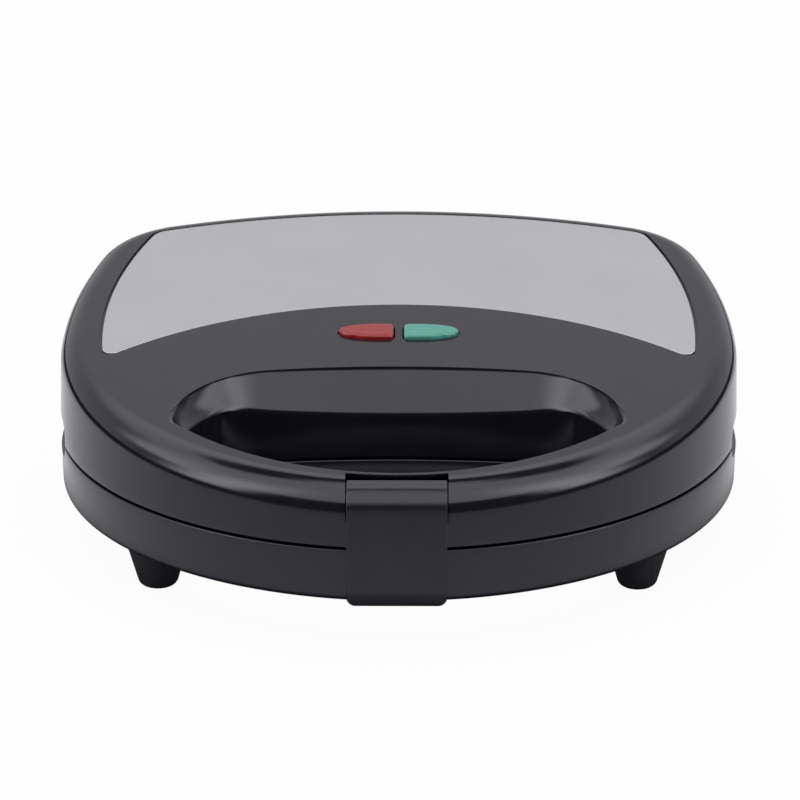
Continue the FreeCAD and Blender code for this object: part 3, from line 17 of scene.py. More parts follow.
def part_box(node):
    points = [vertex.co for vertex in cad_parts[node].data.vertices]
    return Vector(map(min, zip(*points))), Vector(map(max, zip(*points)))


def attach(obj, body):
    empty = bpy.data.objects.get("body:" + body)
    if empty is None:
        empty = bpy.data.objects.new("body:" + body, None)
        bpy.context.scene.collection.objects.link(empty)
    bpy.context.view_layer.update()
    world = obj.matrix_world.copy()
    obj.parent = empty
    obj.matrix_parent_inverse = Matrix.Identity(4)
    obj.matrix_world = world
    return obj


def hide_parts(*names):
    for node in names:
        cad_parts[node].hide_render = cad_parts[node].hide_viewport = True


bl_info = {
    "name": "Sandwich Maker",
    "version": (1, 0, 0),
    "blender": (4, 5, 0),
    "location": "3D View > Sidebar > Sandwich Maker",
    "description": "Mouldings, plates and finishes of a sandwich maker over its packed parts",
    "category": "Object",
}

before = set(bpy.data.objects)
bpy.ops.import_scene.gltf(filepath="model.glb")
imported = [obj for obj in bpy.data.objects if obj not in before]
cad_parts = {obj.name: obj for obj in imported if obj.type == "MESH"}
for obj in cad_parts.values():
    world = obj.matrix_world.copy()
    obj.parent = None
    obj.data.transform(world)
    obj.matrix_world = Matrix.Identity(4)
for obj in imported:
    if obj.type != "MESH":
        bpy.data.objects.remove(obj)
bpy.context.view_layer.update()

HINGE_LOW, HINGE_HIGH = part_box("hinge_pin_left")
HINGE_Y = (HINGE_LOW.y + HINGE_HIGH.y) / 2
SEAM_Z = (HINGE_LOW.z + HINGE_HIGH.z) / 2
LOWER_FACE_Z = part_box("lower_cooking_plate")[1].z
UPPER_FACE_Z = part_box("upper_cooking_plate")[0].z
WELD = 1e-7  # points this close are one
GUARD = 0.0003  # width of the ring between a round and the flat face beside it
FLAT_SCALE = 1000.0  # flat faces are filled in millimetres
SHELL_STEP, GRIP_STEP, ROOM_STEP, SEAT_STEP, FINE_STEP = 0.0014, 0.0011, 0.002, 0.0015, 0.0012
HOLE_STEP, LENS_STEP = 0.0006, 0.0004
EDGE_ROWS = 6


# Sizes and colours

def length(text, default):
    """A size in metres."""
    return FloatProperty(description=text, default=default, unit="LENGTH", precision=5)


def turn(text, degrees):
    """An angle, given here in degrees."""
    return FloatProperty(description=text, default=math.radians(degrees), subtype="ANGLE")


def tone(text, default):
    """A linear colour."""
    return FloatVectorProperty(description=text, default=default, subtype="COLOR", size=3, min=0.0, max=1.0)


def amount(text, default):
    """A plain number."""
    return FloatProperty(description=text, default=default)


def sizes(kind, text):
    """A group of properties."""
    return PointerProperty(type=kind, description=text)


class ShellSizes(bpy.types.PropertyGroup):
    width: length("Across the shells at their widest", 0.236)
    back: length("From the widest line to the rear edge", 0.102)
    side_radius: length("Of the plan's side arcs", 0.223)
    corner_radius: length("Of the plan's rear corners", 0.0387)
    rear_radius: length("Of the plan's rear arc", 0.270)
    wall: length("Thickness of the mouldings", 0.0026)
    draft: turn("Lean of the outer walls", 1.5)
    floor: length("Underside of the base above the worktop", 0.0154)
    floor_roll: length("Round of the base's lower edge", 0.0022)
    front_height: length("Of the lid's top plane over its rim, at the front", 0.0204)
    slope: turn("Rise of the lid's top to the back", 6.8)
    top_roll: length("Round between the lid's top and its walls", 0.0083)
    front_roll: length("The same round along the front", 0.0102)
    room_sink: amount("Ceiling of the inside below the wall, in rolls", 0.42)
    bar_sink: amount("Ceiling of the front bar below the wall, in rolls", 0.25)
    edge: length("Round on the two rims at the seam", 0.0004)
    sink: length("How far the plates lie inside the rims", 0.0002)
    gap: length("Between the two rims", 0.001)


class PanSizes(bpy.types.PropertyGroup):
    half: length("Of the pan under the base", 0.062)
    front: length("Reach ahead of the widest line", 0.016)
    rear: length("Reach behind the widest line", 0.080)
    depth: length("Below the base's floor", 0.008)
    corner: length("Radius of the pan's corners", 0.014)
    roll: length("Round of the pan's lower edge", 0.003)
    well: length("Radius of a screw's well", 0.0033)
    well_top: length("From a well's end to the plate's lug", 0.003)
    boss: length("Radius of a screw's boss", 0.005)


class GripSizes(bpy.types.PropertyGroup):
    rear: length("Rear edge ahead of the widest line", 0.0304)
    front: length("Front edge ahead of the widest line", 0.1065)
    half: length("Of the hand opening", 0.0757)
    rear_radius: length("Of its rear arc", 0.326)
    end_radius: length("Of its round ends", 0.037)
    tip_radius: length("Where the ends meet the front", 0.015)
    front_radius: length("Of its front arc", 0.097)
    inset: length("How far the walls draw in down to the seam", 0.006)
    waist: length("Foot of the flared walls over the lid's rim", 0.0155)
    shoulder: length("Where the waist is highest, from the middle", 0.061)
    waist_rise: length("Of the waist towards the two ends", 0.0047)
    waist_round: length("Length of the soft turn at the waist", 0.0012)
    rear_inset: length("Of the flare at the back", 0.0066)
    end_inset: length("Of the flare at the two ends", 0.005)
    lip: length("Height of the upright lip over the flare, at the back", 0.0004)
    lip_round: length("On the lip's edge", 0.00015)
    end_round: length("On the upper edge at the two ends", 0.003)
    rim_round: length("On the upper edge in front", 0.0005)
    low_round: length("On the edge under the base", 0.0008)


class VentSizes(bpy.types.PropertyGroup):
    length: length("Of the slot in each side wall", 0.040)
    height: length("Of the slot", 0.013)
    rise: length("Of its middle over the seam", 0.0012)
    ahead: length("Of the widest line", 0.007)
    reach: length("Into the wall", 0.008)


class HingeSizes(bpy.types.PropertyGroup):
    spread: length("Of each hinge from the middle", 0.046)
    behind: length("Axis behind the rear edge", 0.005)
    radius: length("Of the round ends", 0.0048)
    width: length("Of the lid's knuckles", 0.0094)
    ear_width: length("Of the base's ears", 0.0036)
    ear_gap: length("Between knuckle and ear", 0.0003)
    drop: length("Height of an arm at the wall", 0.012)
    root: length("Of an arm inside the rear edge", 0.0062)
    edge: length("Round on the knuckles", 0.0004)
    bore: length("Radius of the pin's hole", 0.00206)


class GlandSizes(bpy.types.PropertyGroup):
    sleeve: length("Radius of the hole in the rear wall", 0.0042)
    seat: length("Depth of the round seat", 0.001)
    flange: length("Radius of the seat", 0.00566)


class LatchSizes(bpy.types.PropertyGroup):
    half: length("Of the latch", 0.0164)
    gap: length("At each side of the latch", 0.0004)
    front: length("Face ahead of the widest line", 0.1208)
    sheet: length("Thickness of the front plate", 0.0034)
    bottom: length("Lower edge above the worktop", 0.0150)
    crease: length("Where the lower end tucks in", 0.0204)
    tuck: length("How far the lower edge tucks in", 0.0014)
    crease_high: length("Start of the crease's soft turn above it", 0.0012)
    crease_length: length("Of the soft turn", 0.0022)
    crease_share: amount("Share of the tuck in the soft turn", 0.18)
    side_share: amount("Round at the two sides as a share of the edge", 0.8)
    corner: length("Radius of the lower corners", 0.003)
    roll: length("Round over the top", 0.0066)
    top: length("Above the worktop", 0.0557)
    back: length("Rear edge ahead of the widest line", 0.1098)
    throat: length("Underside of the top", 0.0479)
    heel: length("Where the underside meets the plate", 0.0440)
    pin: length("Axis ahead of the widest line", 0.1126)
    edge: length("Round along all edges", 0.0005)
    groove: length("Depth of the two lines on the top", 0.0004)
    first_line: length("From the rear edge", 0.0018)
    second_line: length("From the rear edge", 0.0038)
    rim_wall: length("Left standing behind the notch", 0.0014)
    notch_floor: length("Above the worktop", 0.0435)
    clear: length("Room behind the plate", 0.0005)
    hook_half: length("Of the hook", 0.007)
    hook_low: length("Underside of the hook", 0.0219)
    hook_height: length("Of the hook", 0.003)
    hook_reach: length("Behind the plate", 0.0018)


class SteelSizes(bpy.types.PropertyGroup):
    front: length("Middle of the front edge behind the widest line", 0.0174)
    front_radius: length("Of the arched front edge", 0.143)
    side_inset: length("From the shell's side", 0.0153)
    rear_inset: length("From the shell's rear", 0.0102)
    front_corner: length("Radius", 0.0035)
    rear_corner: length("Radius", 0.008)
    thickness: length("Of the sheet", 0.0007)
    recess: length("Depth of its seat", 0.0008)
    side_gap: length("At the sheet's two sides", 0.0009)
    end_gap: length("At the sheet's front and back", 0.00025)
    edge: length("Round on the upper edge", 0.0002)


class LensSizes(bpy.types.PropertyGroup):
    space: length("Between the two lenses", 0.0035)
    length: length("Of a lens", 0.019)
    straight: length("Length of the straight part", 0.005)
    half: length("Of a lens", 0.0049)
    ahead: length("Of the widest line", 0.0052)
    rise: length("Above the lid's top", 0.0016)
    shoulder: length("Round of the upper edge", 0.0012)
    corner: length("Radius of the inner corners", 0.0016)
    clear: length("Round a lens in its hole", 0.0005)
    stem: length("Below the lid's wall", 0.0012)
    rib: length("Of the fine ribs under the top", 0.00055)


class PlateSizes(bpy.types.PropertyGroup):
    inset: length("From the shell's outline", 0.004)
    front: length("Straight front edge ahead of the widest line", 0.0238)
    corner: length("Radius of the front corners", 0.010)
    rim: length("Thickness of the flat rim", 0.003)
    wall: length("Of the pockets", 0.0024)
    inner: length("Cell's inner edge from the middle", 0.0084)
    outer: length("Cell's outer edge from the middle", 0.100)
    cell_front: length("Ahead of the widest line", 0.018)
    cell_rear: length("Behind the widest line", 0.080)
    cell_round: length("Radius of the outer rear corner", 0.024)
    pocket_round: length("Radius of the other corners", 0.008)
    depth: length("Of the pockets", 0.010)
    draft: turn("Lean of the pocket walls", 20.0)
    floor_round: length("Where walls meet the floor", 0.002)
    ridge: length("Between two pockets", 0.006)
    bead: length("Height of the sealing bead round a pocket", 0.00045)
    bead_width: length("Across the bead", 0.0016)
    bead_gap: length("Between bead and pocket", 0.0002)
    wall_start: length("Depth where the straight wall starts", 0.0008)
    edge: length("Round on the rim", 0.0004)
    lug: length("Radius of the screw lugs", 0.0035)
    lug_height: length("Behind the rim", 0.004)
    lug_middle: length("Behind the widest line", 0.028)
    lug_rear: length("Behind the widest line", 0.085)
    lug_spread: length("Of the rear lugs from the middle", 0.030)


class FootSizes(bpy.types.PropertyGroup):
    low: length("On the worktop", 0.0062)
    high: length("Under the base", 0.0108)
    round: length("Of the lower edge", 0.003)
    dish: length("Depth of the hollow underneath", 0.0008)
    dish_radius: length("Of the hollow underneath", 0.004)


class Finishes(bpy.types.PropertyGroup):
    black: tone("Glossy mouldings", (0.0072, 0.0070, 0.0115))
    black_fleck: tone("Faint cloud in the black plastic", (0.0095, 0.0093, 0.014))
    steel: tone("Satin sheet", (0.515, 0.515, 0.515))
    red: tone("Clear red plastic", (0.66, 0.035, 0.03))
    green: tone("Clear green plastic", (0.16, 0.70, 0.54))
    coat: tone("Non-stick coat", (0.022, 0.022, 0.023))
    rubber: tone("Feet and gland", (0.0105, 0.0100, 0.0130))
    sheath: tone("Heat-tinted tube", (0.30, 0.27, 0.24))
    sheet: tone("Bright aluminium sheet", (0.78, 0.78, 0.79))
    plated: tone("Pins and screws", (0.60, 0.60, 0.61))
    blackened: tone("Latch pin", (0.03, 0.03, 0.032))
    nylon: tone("Holder and terminal", (0.78, 0.75, 0.68))
    phenolic: tone("Thermostat case", (0.11, 0.06, 0.035))
    glass: tone("Lamp capsules", (0.95, 0.93, 0.90))


class StageSizes(bpy.types.PropertyGroup):
    floor: length("Half width of the floor", 6.0)
    target_y: length("Point that the camera faces", 0.00529)
    target_z: length("Point that the camera faces", 0.0415)
    distance: length("From camera to target", 1.5243)
    elevation: turn("Of the camera", 20.77)
    aside: turn("Turn of the camera to the right", 0.32)
    lens: FloatProperty(description="Focal length", default=196.06, unit="CAMERA")
    sensor: FloatProperty(description="Width", default=36.0, unit="CAMERA")
    shift: amount("Of the lens, across", 0.0015)
    surround: amount("Brightness low behind in reflections", 0.75)
    high: amount("Brightness high behind in reflections", 1.7)
    front: amount("Brightness high in front in reflections", 1.85)
    panel: amount("Brightness of the two side panels in reflections", 4.2)
    near_floor: amount("Brightness of the floor in front in reflections", 0.67)
    side_floor: amount("Brightness of the floor elsewhere in reflections", 0.9)
    # shade also sets the painted shadow under the object on the floor, as reflections see it
    shade: amount("Brightness of the dark gaps in reflections", 0.02)
    cast: tone("Colour of the light in reflections", (0.965, 0.955, 1.0))
    white: amount("Share of plain white on the floor", 0.96)
    fill: amount("Brightness of the room on matt surfaces", 0.75)
    key: FloatProperty(description="Overhead lamp", default=6.0, unit="POWER")


class SandwichMaker(bpy.types.PropertyGroup):
    shell: sizes(ShellSizes, "Sizes of base and lid")
    pan: sizes(PanSizes, "Sizes of the pan")
    grip: sizes(GripSizes, "Sizes of the hand opening")
    vent: sizes(VentSizes, "Sizes of the side slots")
    hinge: sizes(HingeSizes, "Sizes of knuckles and ears")
    gland: sizes(GlandSizes, "Sizes of the gland's seat")
    latch: sizes(LatchSizes, "Sizes of latch and notch")
    steel: sizes(SteelSizes, "Sizes of the steel sheet")
    lens: sizes(LensSizes, "Sizes of the lamp lenses")
    plate: sizes(PlateSizes, "Sizes of the cooking plates")
    foot: sizes(FootSizes, "Sizes of the feet")
    finish: sizes(Finishes, "Colours")
    stage: sizes(StageSizes, "Camera and light")


# Plans made of arcs

Arc = namedtuple("Arc", "centre radius start end side line", defaults=(1, False))


def heading(start, end):
    """Angle of the way from one plan point to another."""
    return math.atan2(end[1] - start[1], end[0] - start[0])


def quarter(count):
    """Angles over a quarter turn."""
    return np.linspace(0.0, math.pi / 2, count)


def mirrored(point):
    """The same plan point on the left half."""
    return np.array([-point[0], point[1]])


def meeting(one, one_radius, two, two_radius, liking):
    """Where two circles cross: along the line of centres by (r1^2 - r2^2 + d^2) / 2d, then aside."""
    way = two - one
    gap = np.hypot(*way)
    along = (one_radius ** 2 - two_radius ** 2 + gap ** 2) / (2 * gap)
    aside = math.sqrt(one_radius ** 2 - along ** 2)
    ahead = way / gap
    across = np.array([-ahead[1], ahead[0]])
    both = [one + ahead * along + across * aside, one + ahead * along - across * aside]
    return max(both, key=lambda point: float(np.dot(point, liking)))


def both_sides(front, right, rear):
    """A whole plan from its front arc, the arcs of its right side and its rear arc."""
    left = [Arc(mirrored(arc.centre), arc.radius, math.pi - arc.end, math.pi - arc.start) for arc in reversed(right)]
    return [front, *right, rear, *left]


def walk(arcs, inset, step):
    """Points and outward normals round a closed plan: centre + (radius - side * inset) * (cos, sin) on each arc,
    with straight lines between arcs that don't meet."""
    points, normals = [], []
    for arc in arcs:
        count = max(4, int(math.ceil(abs(arc.end - arc.start) * arc.radius / step)))
        angles = np.linspace(arc.start, arc.end, count + 1)
        ring = np.stack([np.cos(angles), np.sin(angles)], axis=1)
        keep = slice(None) if arc.line else slice(0, -1)
        points.append((np.asarray(arc.centre) + ring * (arc.radius - arc.side * inset))[keep])
        normals.append((ring * arc.side)[keep])
    return np.concatenate(points), np.concatenate(normals)


def shell_arcs(shell):
    """Plan of the shells: a half circle in front, two side arcs, two corner arcs and a rear arc."""
    half = shell.width / 2
    side = np.array([half - shell.side_radius, 0.0])
    rear = np.array([0.0, shell.back - shell.rear_radius])
    corner = meeting(side, shell.side_radius - shell.corner_radius, rear,
                     shell.rear_radius - shell.corner_radius, (1, 1))
    low, high = heading(side, corner), heading(rear, corner)
    right = [Arc(side, shell.side_radius, 0.0, low), Arc(corner, shell.corner_radius, low, high)]
    return both_sides(Arc((0.0, 0.0), half, math.pi, 2 * math.pi), right,
                      Arc(rear, shell.rear_radius, high, math.pi - high))


def room_arcs(shell, inset, front):
    """The part of the shells' plan, drawn in, that lies behind a straight line across it."""
    bow, *others = shell_arcs(shell)
    low = math.asin(front / (bow.radius - inset))
    return [bow._replace(start=2 * math.pi - low), *others,
            bow._replace(start=math.pi, end=math.pi + low, line=True)]


def grip_arcs(grip):
    """Plan of the hand opening: a front arc, two tight tips, two round ends and a flat rear arc."""
    rear = np.array([0.0, -grip.rear - grip.rear_radius])
    front = np.array([0.0, grip.front_radius - grip.front])
    end_x = grip.half - grip.end_radius
    end = np.array([end_x, rear[1] + math.sqrt((grip.rear_radius - grip.end_radius) ** 2 - end_x ** 2)])
    tip = meeting(end, grip.end_radius - grip.tip_radius, front, grip.front_radius - grip.tip_radius, (1, 0))
    low, mid, high = heading(front, tip), heading(end, tip), heading(rear, end)
    return both_sides(Arc(front, grip.front_radius, -math.pi - low, low),
                      [Arc(tip, grip.tip_radius, low, mid), Arc(end, grip.end_radius, mid, high)],
                      Arc(rear, grip.rear_radius, high, math.pi - high))


def channel_arcs(s, side):
    """The hollow at one side of the front bar, between the front wall and the hand opening's collar."""
    shell, grip, latch = s.shell, s.grip, s.latch
    core = latch.half + latch.gap + shell.wall
    outer = shell.width / 2 - shell.wall
    line = grip.rear
    front_arc, tip_arc, end_arc = grip_arcs(grip)[:3]
    grown = [arc._replace(radius=arc.radius + shell.wall) for arc in (front_arc, tip_arc, end_arc)]
    start = -math.acos(core / grown[0].radius)
    arcs = [
        Arc((0.0, 0.0), outer, -math.acos(core / outer), -math.asin(line / outer), 1, True),
        grown[2]._replace(start=end_arc.end, end=end_arc.start, side=-1),
        grown[1]._replace(start=tip_arc.end, end=tip_arc.start, side=-1),
        grown[0]._replace(start=front_arc.end, end=start, side=-1, line=True),
    ]
    if side > 0:
        return arcs
    flipped = [arc._replace(centre=mirrored(arc.centre), start=math.pi - arc.end, end=math.pi - arc.start)
               for arc in reversed(arcs)]
    return [arc._replace(line=line) for arc, line in zip(flipped, (False, False, True, True))]


def steel_arcs(s, aside=0.0, endways=0.0):
    """Plan of the steel sheet: an arched front, and sides and back that follow the lid, with round corners. The
    sides may be moved outwards by one length, and front and back by another."""
    shell, steel = s.shell, s.steel
    side = np.array([shell.width / 2 - shell.side_radius, 0.0])
    rear = np.array([0.0, shell.back - shell.rear_radius])
    front = np.array([0.0, steel.front - steel.front_radius])
    side_radius = shell.side_radius - steel.side_inset + aside
    rear_radius = shell.rear_radius - steel.rear_inset + endways
    front_radius = steel.front_radius - endways
    near = meeting(side, side_radius - steel.front_corner, front, front_radius + steel.front_corner, (1, 0))
    far = meeting(side, side_radius - steel.rear_corner, rear, rear_radius - steel.rear_corner, (0, 1))
    bow = heading(front, near)
    low, high, back = heading(side, near), heading(side, far), heading(rear, far)
    right = [Arc(near, steel.front_corner, bow - math.pi, low), Arc(side, side_radius, low, high),
             Arc(far, steel.rear_corner, high, back)]
    return both_sides(Arc(front, front_radius, math.pi - bow, bow, -1), right,
                      Arc(rear, rear_radius, back, math.pi - back))


def round_corners(corners, radii):
    """Arcs at the corners of a polygon, anticlockwise, each touching its two sides."""
    arcs = []
    for at, (corner, radius) in enumerate(zip(corners, radii)):
        back = corners[at - 1] - corner
        ahead = corners[(at + 1) % len(corners)] - corner
        back, ahead = back / np.hypot(*back), ahead / np.hypot(*ahead)
        half = math.acos(float(np.dot(back, ahead))) / 2
        middle = (back + ahead) / np.hypot(*(back + ahead))
        centre = corner + middle * (radius / math.sin(half))
        start = heading(centre, corner + back * (radius / math.tan(half)))
        arcs.append(Arc(centre, radius, start, start + math.pi - 2 * half, 1, True))
    return arcs


def pocket_plans(plate):
    """The four triangular pockets of a plate, two in each cell, either side of its diagonal ridge."""
    inner, outer, front, rear = plate.inner, plate.outer, -plate.cell_front, plate.cell_rear
    way = np.array([inner - outer, rear - front])
    way = way / np.hypot(*way)
    along_x, along_y = plate.ridge / 2 / abs(way[1]), plate.ridge / 2 / abs(way[0])
    near = [np.array(p) for p in ((inner, front), (outer - along_x, front), (inner, rear - along_y))]
    far = [np.array(p) for p in ((outer, front + along_y), (outer, rear), (inner + along_x, rear))]
    tight, wide = plate.pocket_round, plate.cell_round
    plans = []
    for corners, radii in ((near, (tight, tight, tight)), (far, (tight, wide, tight))):
        plans.append(round_corners(corners, radii))
        plans.append(round_corners([mirrored(corner) for corner in reversed(corners)], radii[::-1]))
    return plans


def lens_loop(lens, side, grow, step):
    """Plan of a lens, moved outwards by grow: two round inner corners, straight edges and half an ellipse."""
    inner = lens.space / 2 - grow
    shoulder = lens.space / 2 + lens.straight
    half, nose, radius = lens.half + grow, lens.length - lens.straight + grow, lens.corner + grow
    count = int(math.ceil(math.pi * (lens.length + lens.half) / 2 / step))
    sweep = np.linspace(-math.pi / 2, math.pi / 2, count)
    bend = quarter(7)
    low = np.stack([inner + radius - radius * np.cos(bend), radius - half - radius * np.sin(bend)], axis=1)
    tip = np.stack([shoulder + nose * np.cos(sweep), half * np.sin(sweep)], axis=1)
    high = np.stack([low[::-1, 0], -low[::-1, 1]], axis=1)
    loop = np.concatenate([low, tip, high]) - (0.0, lens.ahead)
    return loop if side > 0 else loop[::-1] * (-1.0, 1.0)


# Meshes

class Skin:
    """Gathers rings and flat faces as arrays, then welds them into one closed mesh."""

    def __init__(self):
        self.points, self.faces, self.count = [], [], 0

    def add(self, points):
        """Keep some points and give the number of the first."""
        self.points.append(points)
        self.count += len(points)
        return self.count - len(points)

    def rings(self, stack, cap=False):
        """Four-sided faces between neighbouring rings of a stack of shape (rings, points, 3), with a flat face over
        the last ring if it is asked for."""
        stack = np.asarray(stack)
        rows, columns = stack.shape[:2]
        here = self.add(stack.reshape(-1, 3)) + np.arange(rows * columns).reshape(rows, columns)
        ahead = np.roll(here, -1, axis=1)
        quads = np.stack([here[:-1], ahead[:-1], ahead[1:], here[1:]], axis=-1)
        self.faces += quads.reshape(-1, 4).tolist()
        if cap:
            self.flat([stack[-1]])

    def flat(self, loops, axes=(0, 1)):
        """Triangles that fill a flat face between its outer loop and its holes, seen along the third axis.

        A triangle is kept if a line from its middle crosses the loops an odd number of times."""
        points = np.concatenate(loops)
        start = self.add(points)
        edges, first = [], 0
        for loop in loops:
            run = np.arange(len(loop)) + first
            edges.append(np.stack([run, np.roll(run, -1)], axis=1))
            first += len(loop)
        edges = np.concatenate(edges)
        plan = points[:, axes] * FLAT_SCALE
        found = delaunay_2d_cdt(plan.tolist(), edges.tolist(), [], 0, 1e-6, True)
        if len(found[0]) != len(points):
            raise RuntimeError("two edges of a flat face cross or touch")
        faces = np.array(found[2])
        x, y = plan[faces].mean(axis=1).T[:, :, None]
        one, two = plan[edges[:, 0]], plan[edges[:, 1]]
        level = np.where(one[:, 1] == two[:, 1], 1.0, two[:, 1] - one[:, 1])
        crossing = one[:, 0] + (y - one[:, 1]) * (two[:, 0] - one[:, 0]) / level
        passed = ((one[:, 1] > y) != (two[:, 1] > y)) & (x < crossing)
        self.faces += (faces[passed.sum(axis=1) % 2 == 1] + start).tolist()

    def mesh(self, name):
        """One mesh with doubles merged and faces turned outwards."""
        points = np.concatenate(self.points)
        _, first, same = np.unique(np.round(points / WELD).astype(np.int64), axis=0, return_index=True,
                                   return_inverse=True)
        same = same.ravel()
        data = bpy.data.meshes.new(name)
        data.from_pydata(points[first].tolist(), [], [same[face].tolist() for face in self.faces])
        data.validate()
        turn_outwards(data)
        return data


def turn_outwards(data):
    """Recalculate the faces of a closed mesh so that they point outwards."""
    work = bmesh.new()
    work.from_mesh(data)
    bmesh.ops.recalc_face_normals(work, faces=work.faces)
    work.to_mesh(data)
    work.free()


def smooth(data, degrees):
    """Shade a mesh smooth, with sharp edges where its faces meet at more than an angle."""
    data.polygons.foreach_set("use_smooth", np.ones(len(data.polygons), dtype=bool))
    data.set_sharp_from_angle(angle=math.radians(degrees))


def piece(context, data, nodes, body, finish, sharp=30.0):
    """Put a mesh in the scene as a finished piece that stands for CAD nodes and rides on a body."""
    smooth(data, sharp)
    item = bpy.data.objects.new(data.name, data)
    context.scene.collection.objects.link(item)
    data.materials.append(finish)
    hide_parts(*nodes)
    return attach(item, body)


def joined(context, data, tools, operation):
    """The mesh after closed tools are joined to it or cut from it."""
    item = bpy.data.objects.new(data.name, data)
    context.scene.collection.objects.link(item)
    others = []
    for tool in tools:
        other = bpy.data.objects.new(tool.name, tool)
        context.scene.collection.objects.link(other)
        step = item.modifiers.new(tool.name, "BOOLEAN")
        step.object, step.operation, step.solver = other, operation, "EXACT"
        others.append(other)
    context.view_layer.update()
    made = bpy.data.meshes.new_from_object(item.evaluated_get(context.evaluated_depsgraph_get()))
    made.name = data.name
    for used in [item] + others:
        old = used.data
        bpy.data.objects.remove(used)
        bpy.data.meshes.remove(old)
    return made


def lift(plan, z, wide_y):
    """Plan points as places in the frame, at one height or a height for each."""
    return np.column_stack([plan[:, 0], plan[:, 1] + wide_y, np.broadcast_to(z, len(plan))])


def drawn_rings(plan, out, rows, wide_y):
    """Rings of a plan, each drawn in by an inset and set at a height."""
    return np.array([lift(plan - out * np.reshape(inset, (-1, 1)), height, wide_y) for inset, height in rows])


def capped(stack, axes=(0, 1)):
    """A stack of rings, closed with a flat face at both ends."""
    skin = Skin()
    skin.rings(stack)
    skin.flat([stack[0]], axes)
    skin.flat([stack[-1]], axes)
    return skin


def unit(ways):
    """Directions of length one."""
    return ways / np.linalg.norm(ways, axis=1, keepdims=True)


def left_of(loop):
    """Directions to the left of the path at each point of a closed loop."""
    way = unit(np.roll(loop, -1, axis=0) - np.roll(loop, 1, axis=0))
    return np.stack([-way[:, 1], way[:, 0]], axis=1)


def bar(loop, low, high, axis, edge=0.0):
    """A closed loop drawn along an axis, with its end edges rounded by a small radius.

    loop holds the two other coordinates; at a distance t from an end the loop is drawn in by
    edge - sqrt(edge^2 - (edge - t)^2)."""
    ahead = np.roll(loop, -1, axis=0)
    area = np.sum(loop[:, 0] * ahead[:, 1] - loop[:, 1] * ahead[:, 0])
    inward = left_of(loop) * math.copysign(1.0, area)
    if edge:
        bend = quarter(5)
        offsets, insets = edge * (1 - np.cos(bend)), edge * (1 - np.sin(bend))
        stations = [(low + t, d) for t, d in zip(offsets, insets)]
        stations += [(high - t, d) for t, d in zip(offsets[::-1], insets[::-1])]
    else:
        stations = [(low, 0.0), (high, 0.0)]
    others = [number for number in range(3) if number != axis]
    stack = np.zeros((len(stations), len(loop), 3))
    for number, (place, inset) in enumerate(stations):
        stack[number][:, axis] = place
        stack[number][:, others] = loop + inward * inset
    return capped(stack, others)


def polar(centre, radius, angles):
    """Points of a circle: centre + radius * (cos, sin)."""
    return np.asarray(centre) + radius * np.stack([np.cos(angles), np.sin(angles)], axis=1)


def circle(centre, radius, count):
    """A loop of points round a centre."""
    return polar(centre, radius, np.linspace(0.0, 2 * math.pi, count, endpoint=False))


# Levels that several pieces share

class Levels:
    """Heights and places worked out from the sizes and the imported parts."""

    def __init__(self, s):
        shell = s.shell
        self.wide_y = HINGE_Y - shell.back - s.hinge.behind
        self.rim = LOWER_FACE_Z + shell.sink
        self.lid = UPPER_FACE_Z - shell.sink
        self.rise = math.tan(shell.slope)
        self.top = self.lid + shell.front_height + self.rise * shell.width / 2

    def top_at(self, along):
        """Height of the lid's top plane behind the widest line."""
        return self.top + self.rise * along

    def on_top(self, s, plan, height):
        """Plan points drawn on the sloping top, moved off it by a height along its normal."""
        sin, cos = math.sin(s.shell.slope), math.cos(s.shell.slope)
        return np.column_stack([plan[:, 0], self.wide_y + plan[:, 1] * cos - height * sin,
                                self.top + plan[:, 1] * sin + height * cos])


def edge_arc(radius, steps):
    """Inset and drop along a quarter round: radius * (1 - sin, 1 - cos) from the flat to the wall."""
    bend = quarter(steps)
    return radius * (1 - np.sin(bend)), radius * (1 - np.cos(bend))


# Lid and base

FRONT_ROUND = (0.2, 0.8)  # how far a wall faces the front where the roll grows


def lid_outside(s, level):
    """The lid's outer skin as rings: rounded rim, drafted wall, roll and the start of the sloping top.

    With k the top's slope along the outward normal, the roll's centre lies inside the outline by
    (R + (z0 - R * sqrt(1 + k^2) - rim) * sin d) / (cos d + k * sin d), where d is the draft."""
    shell = s.shell
    plan, out = walk(shell_arcs(shell), 0.0, SHELL_STEP)
    sin, cos = math.sin(shell.draft), math.cos(shell.draft)
    radius = shell.top_roll + (shell.front_roll - shell.top_roll) * ease(-out[:, 1], *FRONT_ROUND)
    z0 = level.top_at(plan[:, 1])
    k = level.rise * out[:, 1]
    q = np.sqrt(1 + k ** 2)
    centre = (radius + (z0 - radius * q - level.lid) * sin) / (cos + k * sin)
    middle = z0 - k * centre - radius * q
    rows = [(np.full(len(plan), shell.edge + GUARD), np.full(len(plan), level.lid))]
    for inset, drop in zip(*edge_arc(shell.edge, EDGE_ROWS)):
        height = level.lid + drop
        rows.append((inset + (height - level.lid) * sin / cos + 0 * k, height + 0 * k))
    start = middle + radius * sin
    for share in np.linspace(0.0, 1.0, 7)[1:]:
        height = level.lid + shell.edge + (start - level.lid - shell.edge) * share
        rows.append(((height - level.lid) * sin / cos, height))
    first, last = math.pi - shell.draft, np.arctan2(1.0, k)
    for share in np.linspace(0.0, 1.0, 25)[1:]:
        angle = first + (last - first) * share
        rows.append((centre + radius * np.cos(angle), middle + radius * np.sin(angle)))
    inset = rows[-1][0] + GUARD
    rows.append((inset, z0 - k * inset))
    return drawn_rings(plan, out, rows, level.wide_y)


def ease(value, low, high):
    """0 up to low, 1 from high and 3t^2 - 2t^3 between them."""
    share = np.clip((value - low) / (high - low), 0.0, 1.0)
    return share * share * (3 - 2 * share)


